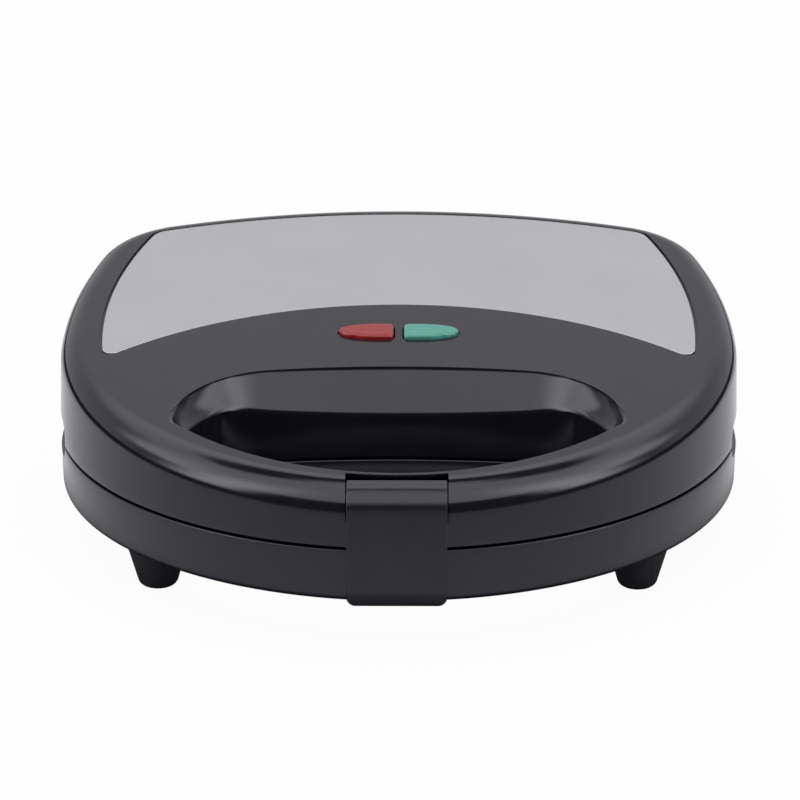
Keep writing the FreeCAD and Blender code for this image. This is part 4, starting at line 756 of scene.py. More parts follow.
# Bands round the hand opening, by how many degrees a wall faces back: 90 at the back, 0 at the ends, -90 in front
BACK_TURN, FRONT_TURN = (8.0, 25.0), (20.0, 45.0)
LIP_RISE, LIP_FALL = (15.0, 35.0), (50.0, 75.0)
REAR_DRAW, FRONT_DRAW = (50.0, 85.0), (30.0, 80.0)
HOLLOW_TURN = (-40.0, -10.0)
HOLLOW_START, HOLLOW_END = 0.001, 0.014  # metres before and past the shoulder
HOLLOW_OUT, HOLLOW_DOWN = 0.2, 0.3  # how far the flare's middle point is moved, as shares of the flare
UPRIGHT = (0.0, 0.0, 1.0)


def lid_grip(s, level):
    """Walls of the lid's hand opening: rim, upright lip at the back, flare, soft waist, walls and a rounded foot.

    The flare is a parabola from the foot of the lip to the waist: straight at the back and hollow at the two ends,
    where its middle point is moved down and out. The waist is drawn in from the outline and rises by
    waist_rise * (x / shoulder)^2 as far as the shoulder. A straight wall goes from there to the drawn-in outline at
    the seam. The rim is an arc that touches the top and the lip, or the flare where there is no lip; the waist is
    rounded by a second parabola."""
    grip, shell = s.grip, s.shell
    plan, out = walk(grip_arcs(grip), 0.0, GRIP_STEP)
    aside = np.abs(plan[:, 0])
    facing = np.degrees(np.arctan2(out[:, 1], np.abs(out[:, 0])))
    back, front = ease(facing, *BACK_TURN), ease(-facing, *FRONT_TURN)
    lip = grip.lip * back * (1 + ease(facing, *LIP_RISE) - ease(facing, *LIP_FALL))
    radius = grip.end_round + (grip.lip_round - grip.end_round) * back + (grip.rim_round - grip.end_round) * front
    hollow = ease(aside, grip.shoulder - HOLLOW_START, grip.shoulder + HOLLOW_END) * ease(facing, *HOLLOW_TURN)
    drawn = (grip.end_inset + (grip.rear_inset - grip.end_inset) * ease(facing, *REAR_DRAW)
             + (grip.inset - grip.end_inset) * ease(-facing, *FRONT_DRAW))
    waist_z = level.lid + grip.waist + grip.waist_rise * np.minimum(1.0, (aside / grip.shoulder) ** 2)
    high, low = level.on_top(s, plan, 0.0), lift(plan - out * grip.inset, level.lid, level.wide_y)
    waist = lift(plan - out * drawn[:, None], waist_z, level.wide_y)
    outward = np.column_stack([out[:, 0], out[:, 1] * math.cos(shell.slope), out[:, 1] * math.sin(shell.slope)])
    start = high - np.outer(lip, UPRIGHT)
    across = 0.5 - HOLLOW_OUT * hollow
    bend = np.column_stack([across, across, 0.5 + HOLLOW_DOWN * hollow])
    middle = start + (waist - start) * bend
    down = unit(unit(middle - high) * (1 - back)[:, None] - np.outer(back, UPRIGHT))
    half = np.arccos(np.sum(outward * down, axis=1, keepdims=True)) / 2
    reach = radius[:, None] / np.tan(half)
    centre = high + unit(outward + down) * radius[:, None] / np.sin(half)
    one, two = high + outward * reach - centre, high + down * reach - centre
    sweep = math.pi - 2 * half
    rows = [high + outward * (reach + GUARD)]
    for share in np.linspace(0.0, 1.0, 9):
        rows.append(centre + (one * np.sin((1 - share) * sweep) + two * np.sin(share * sweep)) / np.sin(sweep))
    begin = high + down * np.maximum(reach, lip[:, None])
    close = 1 - grip.waist_round / (2 * np.linalg.norm(waist - middle, axis=1, keepdims=True))
    for share in np.linspace(0.0, 1.0, 13):
        t = share * close
        rows.append(begin * (1 - t) ** 2 + middle * 2 * t * (1 - t) + waist * t ** 2)
    fall = unit(low - waist)
    before, after = rows[-1], waist + fall * grip.waist_round
    for share in np.linspace(0.0, 1.0, 7)[1:]:
        rows.append(before * (1 - share) ** 2 + waist * 2 * share * (1 - share) + after * share ** 2)
    foot = low - fall * (shell.edge / np.abs(fall[:, 2:3]))
    for share in np.linspace(0.0, 1.0, 6)[1:]:
        rows.append(after + (foot - after) * share)
    flat_out = np.column_stack([out, np.zeros(len(out))])
    for inset, drop in list(zip(*edge_arc(shell.edge, EDGE_ROWS)))[-2::-1]:
        rows.append(np.column_stack([(low + flat_out * inset)[:, :2], np.full(len(low), level.lid + drop)]))
    rows.append(rows[-1] + flat_out * GUARD)
    return np.array(rows)


def rooms(s):
    """Plans of the hollows in a shell: the main room, then the left and right of the front bar."""
    wall = s.shell.wall
    main, _ = walk(room_arcs(s.shell, wall, s.grip.rear - wall), wall, ROOM_STEP)
    return [main] + [walk(channel_arcs(s, side), 0.0, ROOM_STEP)[0] for side in (-1, 1)]


def lid_mesh(context, s, level):
    """The lid moulding: outer skin, hand opening, seats for sheet and lenses, hollow inside, notch and vents."""
    shell, lens = s.shell, s.lens
    skin = Skin()
    outside, grip = lid_outside(s, level), lid_grip(s, level)
    skin.rings(outside)
    skin.rings(grip)
    holes = [lens_loop(lens, side, lens.clear, HOLE_STEP) for side in (-1, 1)]
    upper = [level.on_top(s, hole, 0.0) for hole in holes]
    skin.flat([outside[-1], grip[0]] + upper)
    ceiling = [level.on_top(s, hole, -shell.wall) for hole in holes]
    for high, low in zip(upper, ceiling):
        skin.rings([high, low])
    thick = shell.wall / math.cos(shell.slope)
    rims = []
    for number, plan in enumerate(rooms(s)):
        low = lift(plan, level.lid, level.wide_y)
        high = lift(plan, level.top_at(plan[:, 1]) - thick, level.wide_y)
        drop = np.array([0.0, 0.0, shell.top_roll * (shell.bar_sink if number else shell.room_sink)])
        skin.rings([low, high - drop])
        through = [] if number else ceiling
        skin.flat([high - drop] + [hole - drop for hole in through])
        for hole in through:
            skin.rings([hole, hole - drop])
        rims.append(low)
    skin.flat([outside[0], grip[-1]] + rims)
    whole = joined(context, skin.mesh("lid_moulding"), knuckles(s, (0.0,), s.hinge.width, 1), "UNION")
    tools = [latch_notch(s, level), sheet_seat(s, level), *vents(s, level), *hinge_bores(s)]
    return joined(context, whole, tools, "DIFFERENCE")


def sheet_seat(s, level):
    """Cutter for the seat of the steel sheet: its plan, grown by the gaps, sunk into the sloping top."""
    seat, _ = walk(steel_arcs(s, s.steel.side_gap, s.steel.end_gap), 0.0, SEAT_STEP)
    stack = np.array([level.on_top(s, seat, height) for height in (-s.steel.recess, s.shell.top_roll)])
    return capped(stack).mesh("sheet_seat")


def base_outside(s, level):
    """The base's outer skin as rings: rounded rim, drafted wall, rolled lower edge and the start of the floor."""
    shell = s.shell
    plan, out = walk(shell_arcs(shell), 0.0, SHELL_STEP)
    lean = math.tan(shell.draft)
    deep = level.rim - shell.floor
    rows = [(shell.edge + GUARD, level.rim)]
    rows += [(inset + drop * lean, level.rim - drop) for inset, drop in zip(*edge_arc(shell.edge, EDGE_ROWS))]
    for share in np.linspace(0.0, 1.0, 6)[1:]:
        drop = shell.edge + (deep - shell.floor_roll - shell.edge) * share
        rows.append((drop * lean, level.rim - drop))
    foot = rows[-1][0]
    for bend in quarter(10)[1:]:
        rows.append((foot + shell.floor_roll * (1 - math.cos(bend)),
                     shell.floor + shell.floor_roll * (1 - math.sin(bend))))
    rows.append((rows[-1][0] + GUARD, shell.floor))
    return drawn_rings(plan, out, rows, level.wide_y)


def pan_arcs(pan, inset):
    """Plan of the pan: a rectangle with round corners."""
    half, front, rear = pan.half - inset, -pan.front + inset, pan.rear - inset
    corners = [np.array(p) for p in ((half, front), (half, rear), (-half, rear), (-half, front))]
    return round_corners(corners, [pan.corner - inset] * 4)


def base_mesh(context, s, level):
    """The base moulding: skirt, hand opening, pan underneath with its screw wells, hollow inside, ears and cuts."""
    shell, pan, grip, plate = s.shell, s.pan, s.grip, s.plate
    skin = Skin()
    outside = base_outside(s, level)
    skin.rings(outside)
    plan, out = walk(grip_arcs(grip), grip.inset, GRIP_STEP)
    rows = [(-shell.edge - GUARD, level.rim)]
    rows += [(-inset, level.rim - drop) for inset, drop in zip(*edge_arc(shell.edge, EDGE_ROWS))]
    rows += [(-inset, shell.floor + drop) for inset, drop in list(zip(*edge_arc(grip.low_round, EDGE_ROWS)))[::-1]]
    rows.append((-grip.low_round - GUARD, shell.floor))
    hand = drawn_rings(plan, out, rows, level.wide_y)
    skin.rings(hand)
    bend = quarter(8)
    under = shell.floor - pan.depth
    outer = [(0.0, shell.floor)]
    outer += [(pan.roll * (1 - math.cos(b)), under + pan.roll * (1 - math.sin(b))) for b in bend]
    outer.append((outer[-1][0] + GUARD, outer[-1][1]))
    pan_plan, pan_out = walk(pan_arcs(pan, 0.0), 0.0, ROOM_STEP)
    pan_rows = drawn_rings(pan_plan, pan_out, outer, level.wide_y)
    skin.rings(pan_rows)
    floor_z, deep_z = shell.floor + shell.wall, shell.floor - pan.depth + shell.wall
    lug_z = LOWER_FACE_Z - plate.rim - plate.lug_height
    wells, bosses = {True: [], False: []}, {True: [], False: []}
    for x, along in lug_places(plate):
        deep = x == 0.0
        mouth_z, inner = (under, deep_z) if deep else (shell.floor, floor_z)
        well, boss = circle((x, along), pan.well, 36), circle((x, along), pan.boss, 36)
        mouth = [lift(well, h, level.wide_y) for h in (mouth_z, lug_z - pan.well_top)]
        stand = [lift(boss, h, level.wide_y) for h in (inner, lug_z)]
        for stack in (mouth, stand):
            skin.rings(stack, cap=True)
        wells[deep].append(mouth[0])
        bosses[deep].append(stand[0])
    skin.flat([outside[-1], hand[-1], pan_rows[0]] + wells[False])
    skin.flat([pan_rows[-1]] + wells[True])
    rims = []
    for number, plan in enumerate(rooms(s)):
        low = lift(plan, floor_z, level.wide_y)
        skin.rings([lift(plan, level.rim, level.wide_y), low])
        rims.append(lift(plan, level.rim, level.wide_y))
        if number:
            skin.flat([low])
            continue
        inside, _ = walk(pan_arcs(pan, shell.wall), 0.0, ROOM_STEP)
        inside_rows = [lift(inside, h, level.wide_y) for h in (floor_z, deep_z)]
        skin.rings(inside_rows)
        skin.flat([low, inside_rows[0]] + bosses[False])
        skin.flat([inside_rows[1]] + bosses[True])
    skin.flat([outside[0], hand[0]] + rims)
    aside = s.hinge.width / 2 + s.hinge.ear_gap + s.hinge.ear_width / 2
    whole = joined(context, skin.mesh("base_moulding"),
                   knuckles(s, (-aside, aside), s.hinge.ear_width, -1), "UNION")
    tools = [*latch_recess(s, level), *vents(s, level), *hinge_bores(s), *gland_hole(s, level)]
    return joined(context, whole, tools, "DIFFERENCE")


def lug_places(plate):
    """Plan places of the screws: one in the middle and two at the back."""
    return [(0.0, plate.lug_middle), (plate.lug_spread, plate.lug_rear), (-plate.lug_spread, plate.lug_rear)]


def knuckles(s, offsets, width, side):
    """Round hinge ends with an arm to the rear wall, above the seam (1) or below it (-1)."""
    hinge = s.hinge
    edge = s.shell.gap / 2
    root = -(hinge.root + hinge.behind)
    begin = math.pi + math.asin(edge / hinge.radius)
    bend = np.linspace(begin, -math.pi / 2, 40)
    loop = np.concatenate([[[root, -edge]], polar((0.0, 0.0), hinge.radius, bend), [[root, -hinge.drop]]])
    loop = loop * (1.0, -side) + (HINGE_Y, SEAM_Z)
    made = []
    for centre in (-hinge.spread, hinge.spread):
        for offset in offsets:
            low = centre + offset - width / 2
            made.append(bar(loop, low, low + width, 0, hinge.edge).mesh("knuckle"))
    return made


def hinge_bores(s):
    """Cutters for the two hinge pins."""
    half = s.hinge.width / 2 + (s.hinge.ear_width + s.hinge.ear_gap) * 1.5
    loop = circle((HINGE_Y, SEAM_Z), s.hinge.bore, 40)
    return [bar(loop, x - half, x + half, 0).mesh("hinge_bore") for x in (-s.hinge.spread, s.hinge.spread)]


def vents(s, level):
    """Cutters for the rounded slot in each side wall."""
    vent = s.vent
    radius, reach = vent.height / 2, (vent.length - vent.height) / 2
    bend = np.linspace(-math.pi / 2, math.pi / 2, 24)
    end = polar((reach, 0.0), radius, bend)
    loop = np.concatenate([end, -end]) + (level.wide_y - vent.ahead, SEAM_Z + vent.rise)
    half = s.shell.width / 2
    return [bar(loop, x - vent.reach, x + vent.reach, 0).mesh("vent") for x in (-half, half)]


def gland_hole(s, level):
    """Cutters for the cord gland: a hole through the rear wall and a round seat outside it."""
    low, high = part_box("cord_gland")
    centre = (0.0, (low.z + high.z) / 2)
    wall_y = level.wide_y + s.shell.back
    hole = bar(circle(centre, s.gland.sleeve, 40), wall_y - s.shell.wall * 3, wall_y + s.shell.wall, 1)
    seat = bar(circle(centre, s.gland.flange, 40), wall_y - s.gland.seat, wall_y + s.shell.wall, 1)
    return [hole.mesh("gland_hole"), seat.mesh("gland_seat")]


def latch_notch(s, level):
    """Cutter for the latch's room in the lid: a slot down the front and a notch behind it, whose rear face follows
    the hand opening's front wall at the width of the rim wall."""
    latch, grip = s.latch, s.grip
    half = latch.half + latch.gap
    x = np.linspace(-half, half, 33)
    tall = level.top_at(0.0)
    mouth = level.top_at(-grip.front)
    heights = np.linspace(latch.notch_floor, tall, 12)
    drawn = grip.inset * np.clip((mouth - heights) / (mouth - level.lid - grip.waist), 0.0, 1.0)
    radius = grip.front_radius - drawn + latch.rim_wall
    rear = (level.wide_y + grip.front_radius - grip.front) - np.sqrt(radius[None, :] ** 2 - x[:, None] ** 2)
    front, face = level.wide_y - s.shell.width, level.wide_y - latch.front + latch.sheet + latch.clear
    count = len(x)
    column = [(front, s.shell.floor), (face, s.shell.floor), (face, latch.notch_floor)]
    first = np.broadcast_to(np.array(column), (count, 3, 2))
    middle = np.stack([rear, np.broadcast_to(heights, rear.shape)], axis=2)
    last = np.broadcast_to(np.array([(front, tall)]), (count, 1, 2))
    section = np.concatenate([first, middle, last], axis=1)
    stack = np.concatenate([np.broadcast_to(x[:, None, None], section.shape[:2] + (1,)), section], axis=2)
    return capped(stack, (1, 2)).mesh("latch_notch")


def latch_recess(s, level):
    """Cutters for the latch's room in the base and for its hook under the ledge."""
    latch = s.latch
    half, front = latch.half + latch.gap, level.wide_y - s.shell.width
    face = level.wide_y - latch.front + latch.sheet + latch.clear
    deep = face + latch.hook_reach
    room = np.array([(front, 0.0), (face, 0.0), (face, level.lid), (front, level.lid)])
    low, high = latch.hook_low - latch.clear * 2, latch.hook_low + latch.hook_height + latch.clear / 2
    hook = np.array([(front, low), (deep, low), (deep, high), (front, high)])
    side = latch.hook_half + latch.clear
    return [bar(room, -half, half, 0).mesh("latch_recess"), bar(hook, -side, side, 0).mesh("hook_room")]


# Pieces on and in the shells

def latch_mesh(s, level):
    """The latch: a section rolled over the top and tucked in below, carried across its width.

    The half width shrinks near the lower edge by corner - sqrt(corner^2 - (corner - t)^2) at a height t, and all
    edges at the two sides are rounded."""
    latch = s.latch
    front, inner = level.wide_y - latch.front, level.wide_y - latch.front + latch.sheet
    back, pin = level.wide_y - latch.back, level.wide_y - latch.pin
    roll_y, roll_z = front + latch.roll, latch.top - latch.roll
    edge = latch.edge
    bend = np.linspace(math.pi / 2, math.pi, 22)
    roll = polar((roll_y, roll_z), latch.roll, bend)
    small = quarter(5)
    lines = np.array([(line + side * latch.groove, side == 0) for line in (latch.first_line, latch.second_line)
                      for side in (-1, 0, 1)])
    top = np.stack([back - lines[::-1, 0], np.full(len(lines), latch.top)], axis=1)
    rear_edge = polar((back - edge, latch.top - edge), edge, small)
    wall = np.linspace(roll_z, latch.crease + latch.crease_high, 10)[1:]
    face = np.stack([np.full(len(wall), front), wall], axis=1)
    turn_in = np.linspace(0.0, 1.0, 6)[1:]
    crease = np.stack([front + latch.tuck * latch.crease_share * turn_in ** 2,
                       latch.crease + latch.crease_high - latch.crease_length * turn_in], axis=1)
    slope = np.linspace(0.0, 1.0, 12)[1:]
    foot_y, foot_z = front + latch.tuck, latch.bottom
    under = np.stack([crease[-1, 0] + (foot_y - crease[-1, 0]) * slope,
                      crease[-1, 1] + (foot_z + edge - crease[-1, 1]) * slope], axis=1)
    lip = np.stack([foot_y + edge * (1 - np.cos(small[1:])), foot_z + edge * (1 - np.sin(small[1:]))], axis=1)
    hind = np.stack([inner - edge + edge * np.sin(small), foot_z + edge * (1 - np.cos(small))], axis=1)
    rise = np.linspace(foot_z + edge, latch.heel, 24)[1:]
    behind = np.stack([np.full(len(rise), inner), rise], axis=1)
    throat = np.array([(pin, latch.throat), (back - edge, latch.throat), (back, latch.throat + edge)])
    loop = np.concatenate([rear_edge, top[::-1], roll, face, crease, under, lip, hind, behind, throat])
    sunk = np.zeros_like(loop)
    sunk[len(rear_edge):len(rear_edge) + len(top), 1] = -latch.groove * lines[:, 1]
    inward = left_of(loop)
    low = np.clip(latch.corner - (loop[:, 1] - latch.bottom), 0.0, latch.corner)
    narrow = latch.corner - np.sqrt(latch.corner ** 2 - low ** 2)
    bends = quarter(6)
    side_edge = edge * latch.side_share
    stations = [(-1, side_edge * (1 - math.cos(b)), side_edge * (1 - math.sin(b))) for b in bends]
    stations += [(1, aside, inset) for _, aside, inset in reversed(stations)]
    stack = []
    for side, aside, inset in stations:
        section = loop + inward * inset + sunk
        stack.append(np.column_stack([side * (latch.half - narrow - aside), section]))
    skin = capped(np.array(stack), (1, 2))
    hook = np.array([(inner - latch.sheet / 2, latch.hook_low), (inner + latch.hook_reach, latch.hook_low),
                     (inner + latch.hook_reach, latch.hook_low + latch.hook_height),
                     (inner - latch.sheet / 2, latch.hook_low + latch.hook_height)])
    return skin.mesh("latch_clip"), bar(hook, -latch.hook_half, latch.hook_half, 0).mesh("latch_hook")


def top_round(radius, high, count):
    """Insets and heights of a quarter round that ends level at a height."""
    bends = quarter(count)[1:]
    return [(radius * (1 - math.cos(b)), high - radius * (1 - math.sin(b))) for b in bends]


def steel_mesh(s, level):
    """The steel sheet: its plan lifted from the seat, with a fine round on the upper edge."""
    steel = s.steel
    plan, out = walk(steel_arcs(s), 0.0, FINE_STEP)
    high = steel.thickness - steel.recess
    rows = [(0.0, -steel.recess), (0.0, high - steel.edge)]
    rows += top_round(steel.edge, high, 7)
    rows.append((rows[-1][0] + GUARD, high))
    stack = np.array([level.on_top(s, plan - out * inset, height) for inset, height in rows])
    return capped(stack).mesh("satin_sheet")


def lens_mesh(s, level, side, name):
    """A lens: its plan drawn up through the lid, with a round on the upper edge and a flat top."""
    lens = s.lens
    high, round_ = lens.rise, lens.shoulder
    rows = [(0.0, -s.shell.wall - lens.stem), (0.0, -s.shell.wall), (0.0, high - round_)]
    rows += top_round(round_, high, 10)
    rows.append((rows[-1][0] + GUARD / 2, high))
    stack = np.array([level.on_top(s, lens_loop(lens, side, -inset, LENS_STEP), height) for inset, height in rows])
    return capped(stack).mesh(name)


def plate_arcs(s):
    """Plan of a cooking plate: the shells' plan drawn in, cut straight at the front with round corners."""
    shell, plate = s.shell, s.plate
    outer = shell.width / 2 - plate.inset
    y = plate.corner - plate.front
    reach = outer - plate.corner
    corner = np.array([math.sqrt(reach ** 2 - y ** 2), y])
    low = heading((0.0, 0.0), corner)
    bow, *others = [arc._replace(radius=arc.radius - plate.inset) for arc in shell_arcs(shell)]
    return [Arc(corner, plate.corner, -math.pi / 2, low), bow._replace(start=low, end=0.0), *others,
            bow._replace(start=math.pi, end=math.pi - low),
            Arc(mirrored(corner), plate.corner, math.pi - low, 3 * math.pi / 2, 1, True)]


def plate_mesh(s, level, upper, name):
    """A cooking plate, face at zero: flat rim, a sealing bead round each pocket, drafted walls and cups behind.

    A pocket's outline is drawn in by depth * tan(draft), with an arc at the floor that touches wall and floor."""
    plate = s.plate
    lean, radius = math.tan(plate.draft), plate.floor_round
    plan, out = walk(plate_arcs(s), 0.0, ROOM_STEP)
    rows = [(plate.edge + GUARD, 0.0)] + [(i, -d) for i, d in zip(*edge_arc(plate.edge, 5))] + [(0.0, -plate.rim)]
    skin = Skin()
    rim = drawn_rings(plan, out, rows, 0.0)
    skin.rings(rim)
    bead = np.linspace(0.0, math.pi, 9)
    face = [(-plate.bead_width * (1 + math.cos(b)) / 2 - plate.bead_gap, plate.bead * math.sin(b)) for b in bead]
    face = [(face[0][0] - GUARD, 0.0)] + face
    touch = radius * math.tan((math.pi / 2 - plate.draft) / 2)
    sweep = np.linspace(plate.draft, math.pi / 2, 7)
    centre = (plate.depth * lean + touch, -plate.depth + radius)
    wall = (plate.wall_start * lean + plate.bead_gap / 2, -plate.wall_start)
    curve = [(centre[0] - radius * math.cos(b), centre[1] - radius * math.sin(b)) for b in sweep]
    face += [wall] + curve + [(centre[0] + GUARD, -plate.depth)]
    cup = plate.wall - plate.rim * lean
    deep = plate.depth + plate.wall
    fronts, backs = [], []
    for arcs in pocket_plans(plate):
        ring, normal = walk(arcs, 0.0, FINE_STEP)
        stack = drawn_rings(ring, normal, face, 0.0)
        skin.rings(stack, cap=True)
        fronts.append(stack[0])
        behind = [(-cup, -plate.rim), (deep * lean - plate.wall, -deep)]
        stack = drawn_rings(ring, normal, behind, 0.0)
        skin.rings(stack, cap=True)
        backs.append(stack[0])
    for x, along in lug_places(plate):
        stack = [lift(circle((x, along), plate.lug, 40), height, 0.0)
                 for height in (-plate.rim, -plate.rim - plate.lug_height)]
        skin.rings(stack, cap=True)
        backs.append(stack[0])
    skin.flat([rim[0]] + fronts)
    skin.flat([rim[-1]] + backs)
    data = skin.mesh(name)
    flip = Matrix.Rotation(math.pi, 4, "Y") if upper else Matrix.Identity(4)
    z = UPPER_FACE_Z if upper else LOWER_FACE_Z
    data.transform(Matrix.Translation((0.0, level.wide_y, z)) @ flip)
    return data


def foot_mesh(s, node):
    """A foot: a cone turned about its axis, rounded below and dished where it stands."""
    foot = s.foot
    low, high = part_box(node)
    centre = ((low.x + high.x) / 2, (low.y + high.y) / 2)
    tall = s.shell.floor
    lean = math.atan2(foot.high - foot.low, tall)
    bend = np.linspace(-math.pi / 2, -lean, 9)
    middle = foot.low - foot.round * (1 - math.sin(lean)) / math.cos(lean)
    rows = [(foot.dish_radius - foot.dish, foot.dish), (foot.dish_radius, 0.0), (middle - GUARD, 0.0)]
    rows += [(middle + foot.round * math.cos(b), foot.round + foot.round * math.sin(b)) for b in bend]
    wide, rise = rows[-1]
    rows += [(wide + (foot.high - GUARD - wide) * share, rise + (tall - GUARD - rise) * share)
             for share in np.linspace(0.0, 1.0, 6)[1:]]
    rows.append((foot.high - 2 * GUARD, tall))
    stack = np.array([lift(circle(centre, radius, 72), height, 0.0) for radius, height in rows])
    return capped(stack).mesh(node + "_cone")


# Finishes

class Tree:
    """A node tree with short ways to add nodes to it."""

    def __init__(self, tree):
        self.nodes, self.links = tree.nodes, tree.links

    def node(self, kind, values=None, **settings):
        """A new node with its settings and input values."""
        made = self.nodes.new(kind)
        for key, value in settings.items():
            setattr(made, key, value)
        for key, value in (values or {}).items():
            if isinstance(value, bpy.types.NodeSocket):
                self.links.new(value, made.inputs[key])
            else:
                made.inputs[key].default_value = value
        return made

    def step(self, value, band, start=0.0, end=1.0):
        """A smooth step from one value to another over a band."""
        return self.node("ShaderNodeMapRange", {"Value": value, "From Min": band[0], "From Max": band[1],
                                                "To Min": start, "To Max": end},
                         interpolation_type="SMOOTHSTEP").outputs["Result"]

    def maths(self, operation, one, two):
        """The result of one operation on two values."""
        return self.node("ShaderNodeMath", {0: one, 1: two}, operation=operation).outputs["Value"]

    def blend(self, share, one, two):
        """A number between two others."""
        return self.node("ShaderNodeMix", {"Factor": share, "A": one, "B": two}, data_type="FLOAT").outputs[0]

    def tint(self, share, one, two):
        """A colour between two tones."""
        made = self.node("ShaderNodeMix", data_type="RGBA")
        self.links.new(share, made.inputs["Factor"])
        made.inputs["A"].default_value, made.inputs["B"].default_value = (*one, 1.0), (*two, 1.0)
        return next(out for out in made.outputs if out.type == "RGBA")


class Finish(Tree):
    """A material's tree with short ways to add the textures that the finishes share."""

    def __init__(self, name, **sockets):
        self.material = bpy.data.materials.new(name)
        self.material.use_nodes = True
        super().__init__(self.material.node_tree)
        self.shader = self.nodes["Principled BSDF"]
        for key, value in sockets.items():
            socket = self.shader.inputs[key.replace("_", " ").title().replace("Ior", "IOR")]
            socket.default_value = (*value, 1.0) if hasattr(value, "__len__") else value
        self.coords = self.nodes.new("ShaderNodeTexCoord").outputs["Object"]

    def stretched(self, scale):
        """Object coordinates stretched along the axes."""
        return self.node("ShaderNodeMapping", {"Vector": self.coords, "Scale": scale}).outputs["Vector"]

    def noise(self, scale, detail, roughness=0.55, vector=None):
        """Cloudy noise, with its scale in waves per metre."""
        return self.node("ShaderNodeTexNoise", {"Vector": vector or self.coords, "Scale": scale, "Detail": detail,
                                                "Roughness": roughness}).outputs["Fac"]

    def between(self, value, low, high, start=0.3, end=0.7):
        """A value spread from one range to another."""
        return self.node("ShaderNodeMapRange", {"Value": value, "From Min": start, "From Max": end, "To Min": low,
                                                "To Max": high}).outputs["Result"]

    def cloud(self, scale, detail):
        """Noise spread over the whole way from one tone to the other."""
        return self.between(self.noise(scale, detail), 0.0, 1.0)

    def bump(self, height, strength, distance):
        """A normal from a height in metres."""
        return self.node("ShaderNodeBump", {"Height": height, "Strength": strength,
                                            "Distance": distance}).outputs["Normal"]

    def join(self, socket, name):
        """Link a value to an input of the shader."""
        self.links.new(socket, self.shader.inputs[name])
        return self

    def mottled(self, share, one, two, gloss, rough, relief, strength, distance):
        """The material with a tone, a roughness and a relief that vary over it."""
        self.join(self.tint(share, one, two), "Base Color")
        self.join(self.between(gloss, *rough), "Roughness")
        return self.join(self.bump(relief, strength, distance), "Normal").material


def scaled(colour, share):
    """A colour made lighter or darker."""
    return [part * share for part in colour]


def gloss_black(finish, name="gloss_black_plastic", rough=(0.11, 0.16)):
    """Glossy black moulding: nearly black, a faint cloud in its gloss and a fine moulded grain."""
    f = Finish(name, ior=1.5)
    return f.mottled(f.cloud(55.0, 4.0), finish.black, finish.black_fleck,
                     f.noise(160.0, 5.0), rough, f.noise(2600.0, 2.0), 0.05, 0.00004)


def satin_steel(finish):
    """Satin sheet: fine brushing along the width, in the gloss and in the height."""
    f = Finish("satin_steel", base_color=finish.steel, metallic=1.0)
    grain = f.noise(1.0, 5.0, 0.6, f.stretched((90.0, 5200.0, 5200.0)))
    return f.mottled(f.cloud(24.0, 3.0), finish.steel, scaled(finish.steel, 0.95),
                     grain, (0.34, 0.44), grain, 0.08, 0.00004)


def lens_plastic(s, name, colour):
    """Clear coloured plastic with fine ribs across it, seen as a dotted grain under the gloss."""
    f = Finish(name, base_color=colour, ior=1.49, roughness=0.06, transmission_weight=0.35)
    pitch = math.pi / (10 * s.lens.rib)
    waves = [f.node("ShaderNodeTexWave", {"Vector": f.coords, "Scale": scale, "Distortion": 0.0},
                    wave_type="BANDS", bands_direction=axis).outputs["Fac"]
             for axis, scale in (("X", pitch), ("Y", pitch / 2))]
    dots = f.maths("MULTIPLY", *waves)
    f.join(f.tint(f.between(dots, 0.0, 1.0, 0.1, 0.6), scaled(colour, 0.62), colour), "Base Color")
    return f.join(f.bump(dots, 0.35, 0.0001), "Normal").material


def nonstick(finish):
    """Black non-stick coat: dark, soft gloss with a fine orange peel and pale flecks."""
    f = Finish("nonstick_coat", ior=1.42)
    fleck = f.between(f.noise(1900.0, 1.0), 0.0, 1.0, 0.68, 0.74)
    return f.mottled(fleck, finish.coat, scaled(finish.coat, 3.0), f.noise(130.0, 4.0), (0.30, 0.42),
                     f.noise(900.0, 3.0), 0.12, 0.00008)


def rubber(finish):
    """Matt black rubber with a fine moulded grain."""
    f = Finish("matt_rubber", specular_ior_level=0.35)
    return f.mottled(f.cloud(300.0, 4.0), finish.rubber, scaled(finish.rubber, 1.5),
                     f.noise(700.0, 3.0), (0.55, 0.75), f.noise(1800.0, 3.0), 0.25, 0.00008)


def metal(name, colour, rough, scale=(800.0, 800.0, 800.0), other=0.85):
    """Bare metal with drawing lines or a fine mottle in its gloss and tone."""
    f = Finish(name, metallic=1.0)
    grain = f.noise(1.0, 4.0, 0.6, f.stretched(scale))
    return f.mottled(f.cloud(120.0, 4.0), colour, scaled(colour, other), grain, rough, grain,
                     0.1, 0.00004)


def dull_plastic(name, colour):
    """Plain moulded plastic with a slight mottle and grain."""
    f = Finish(name, ior=1.5)
    return f.mottled(f.cloud(90.0, 4.0), colour, scaled(colour, 0.88), f.noise(400.0, 3.0),
                     (0.42, 0.58), f.noise(1500.0, 2.0), 0.15, 0.00006)


def lamp_glass(finish):
    """Clear glass with faint drawing lines."""
    f = Finish("lamp_glass", base_color=finish.glass, ior=1.47, transmission_weight=1.0)
    f.join(f.between(f.noise(300.0, 2.0), 0.02, 0.06), "Roughness")
    return f.join(f.bump(f.noise(200.0, 2.0), 0.05, 0.0001), "Normal").material


def dress(node, finish):
    """Give a carried-over CAD node its finish."""
    item = bpy.data.objects[node]
    if item.data.materials:
        for number in range(len(item.data.materials)):
            item.data.materials[number] = finish
    else:
        item.data.materials.append(finish)


# Bands of the floor, in metres from the object's middle; the first is the edge of the painted shadow that
# reflections show under the object
FLOOR_PAINTED_SHADOW, FLOOR_FAR, FLOOR_TURN = (0.115, 0.15), (0.24, 0.29), (-0.22, -0.04)
FLOOR_SQUEEZE, AHEAD_ONLY = (0.8, 1.0, 1.0), (9.0, 0.0, 9.0)
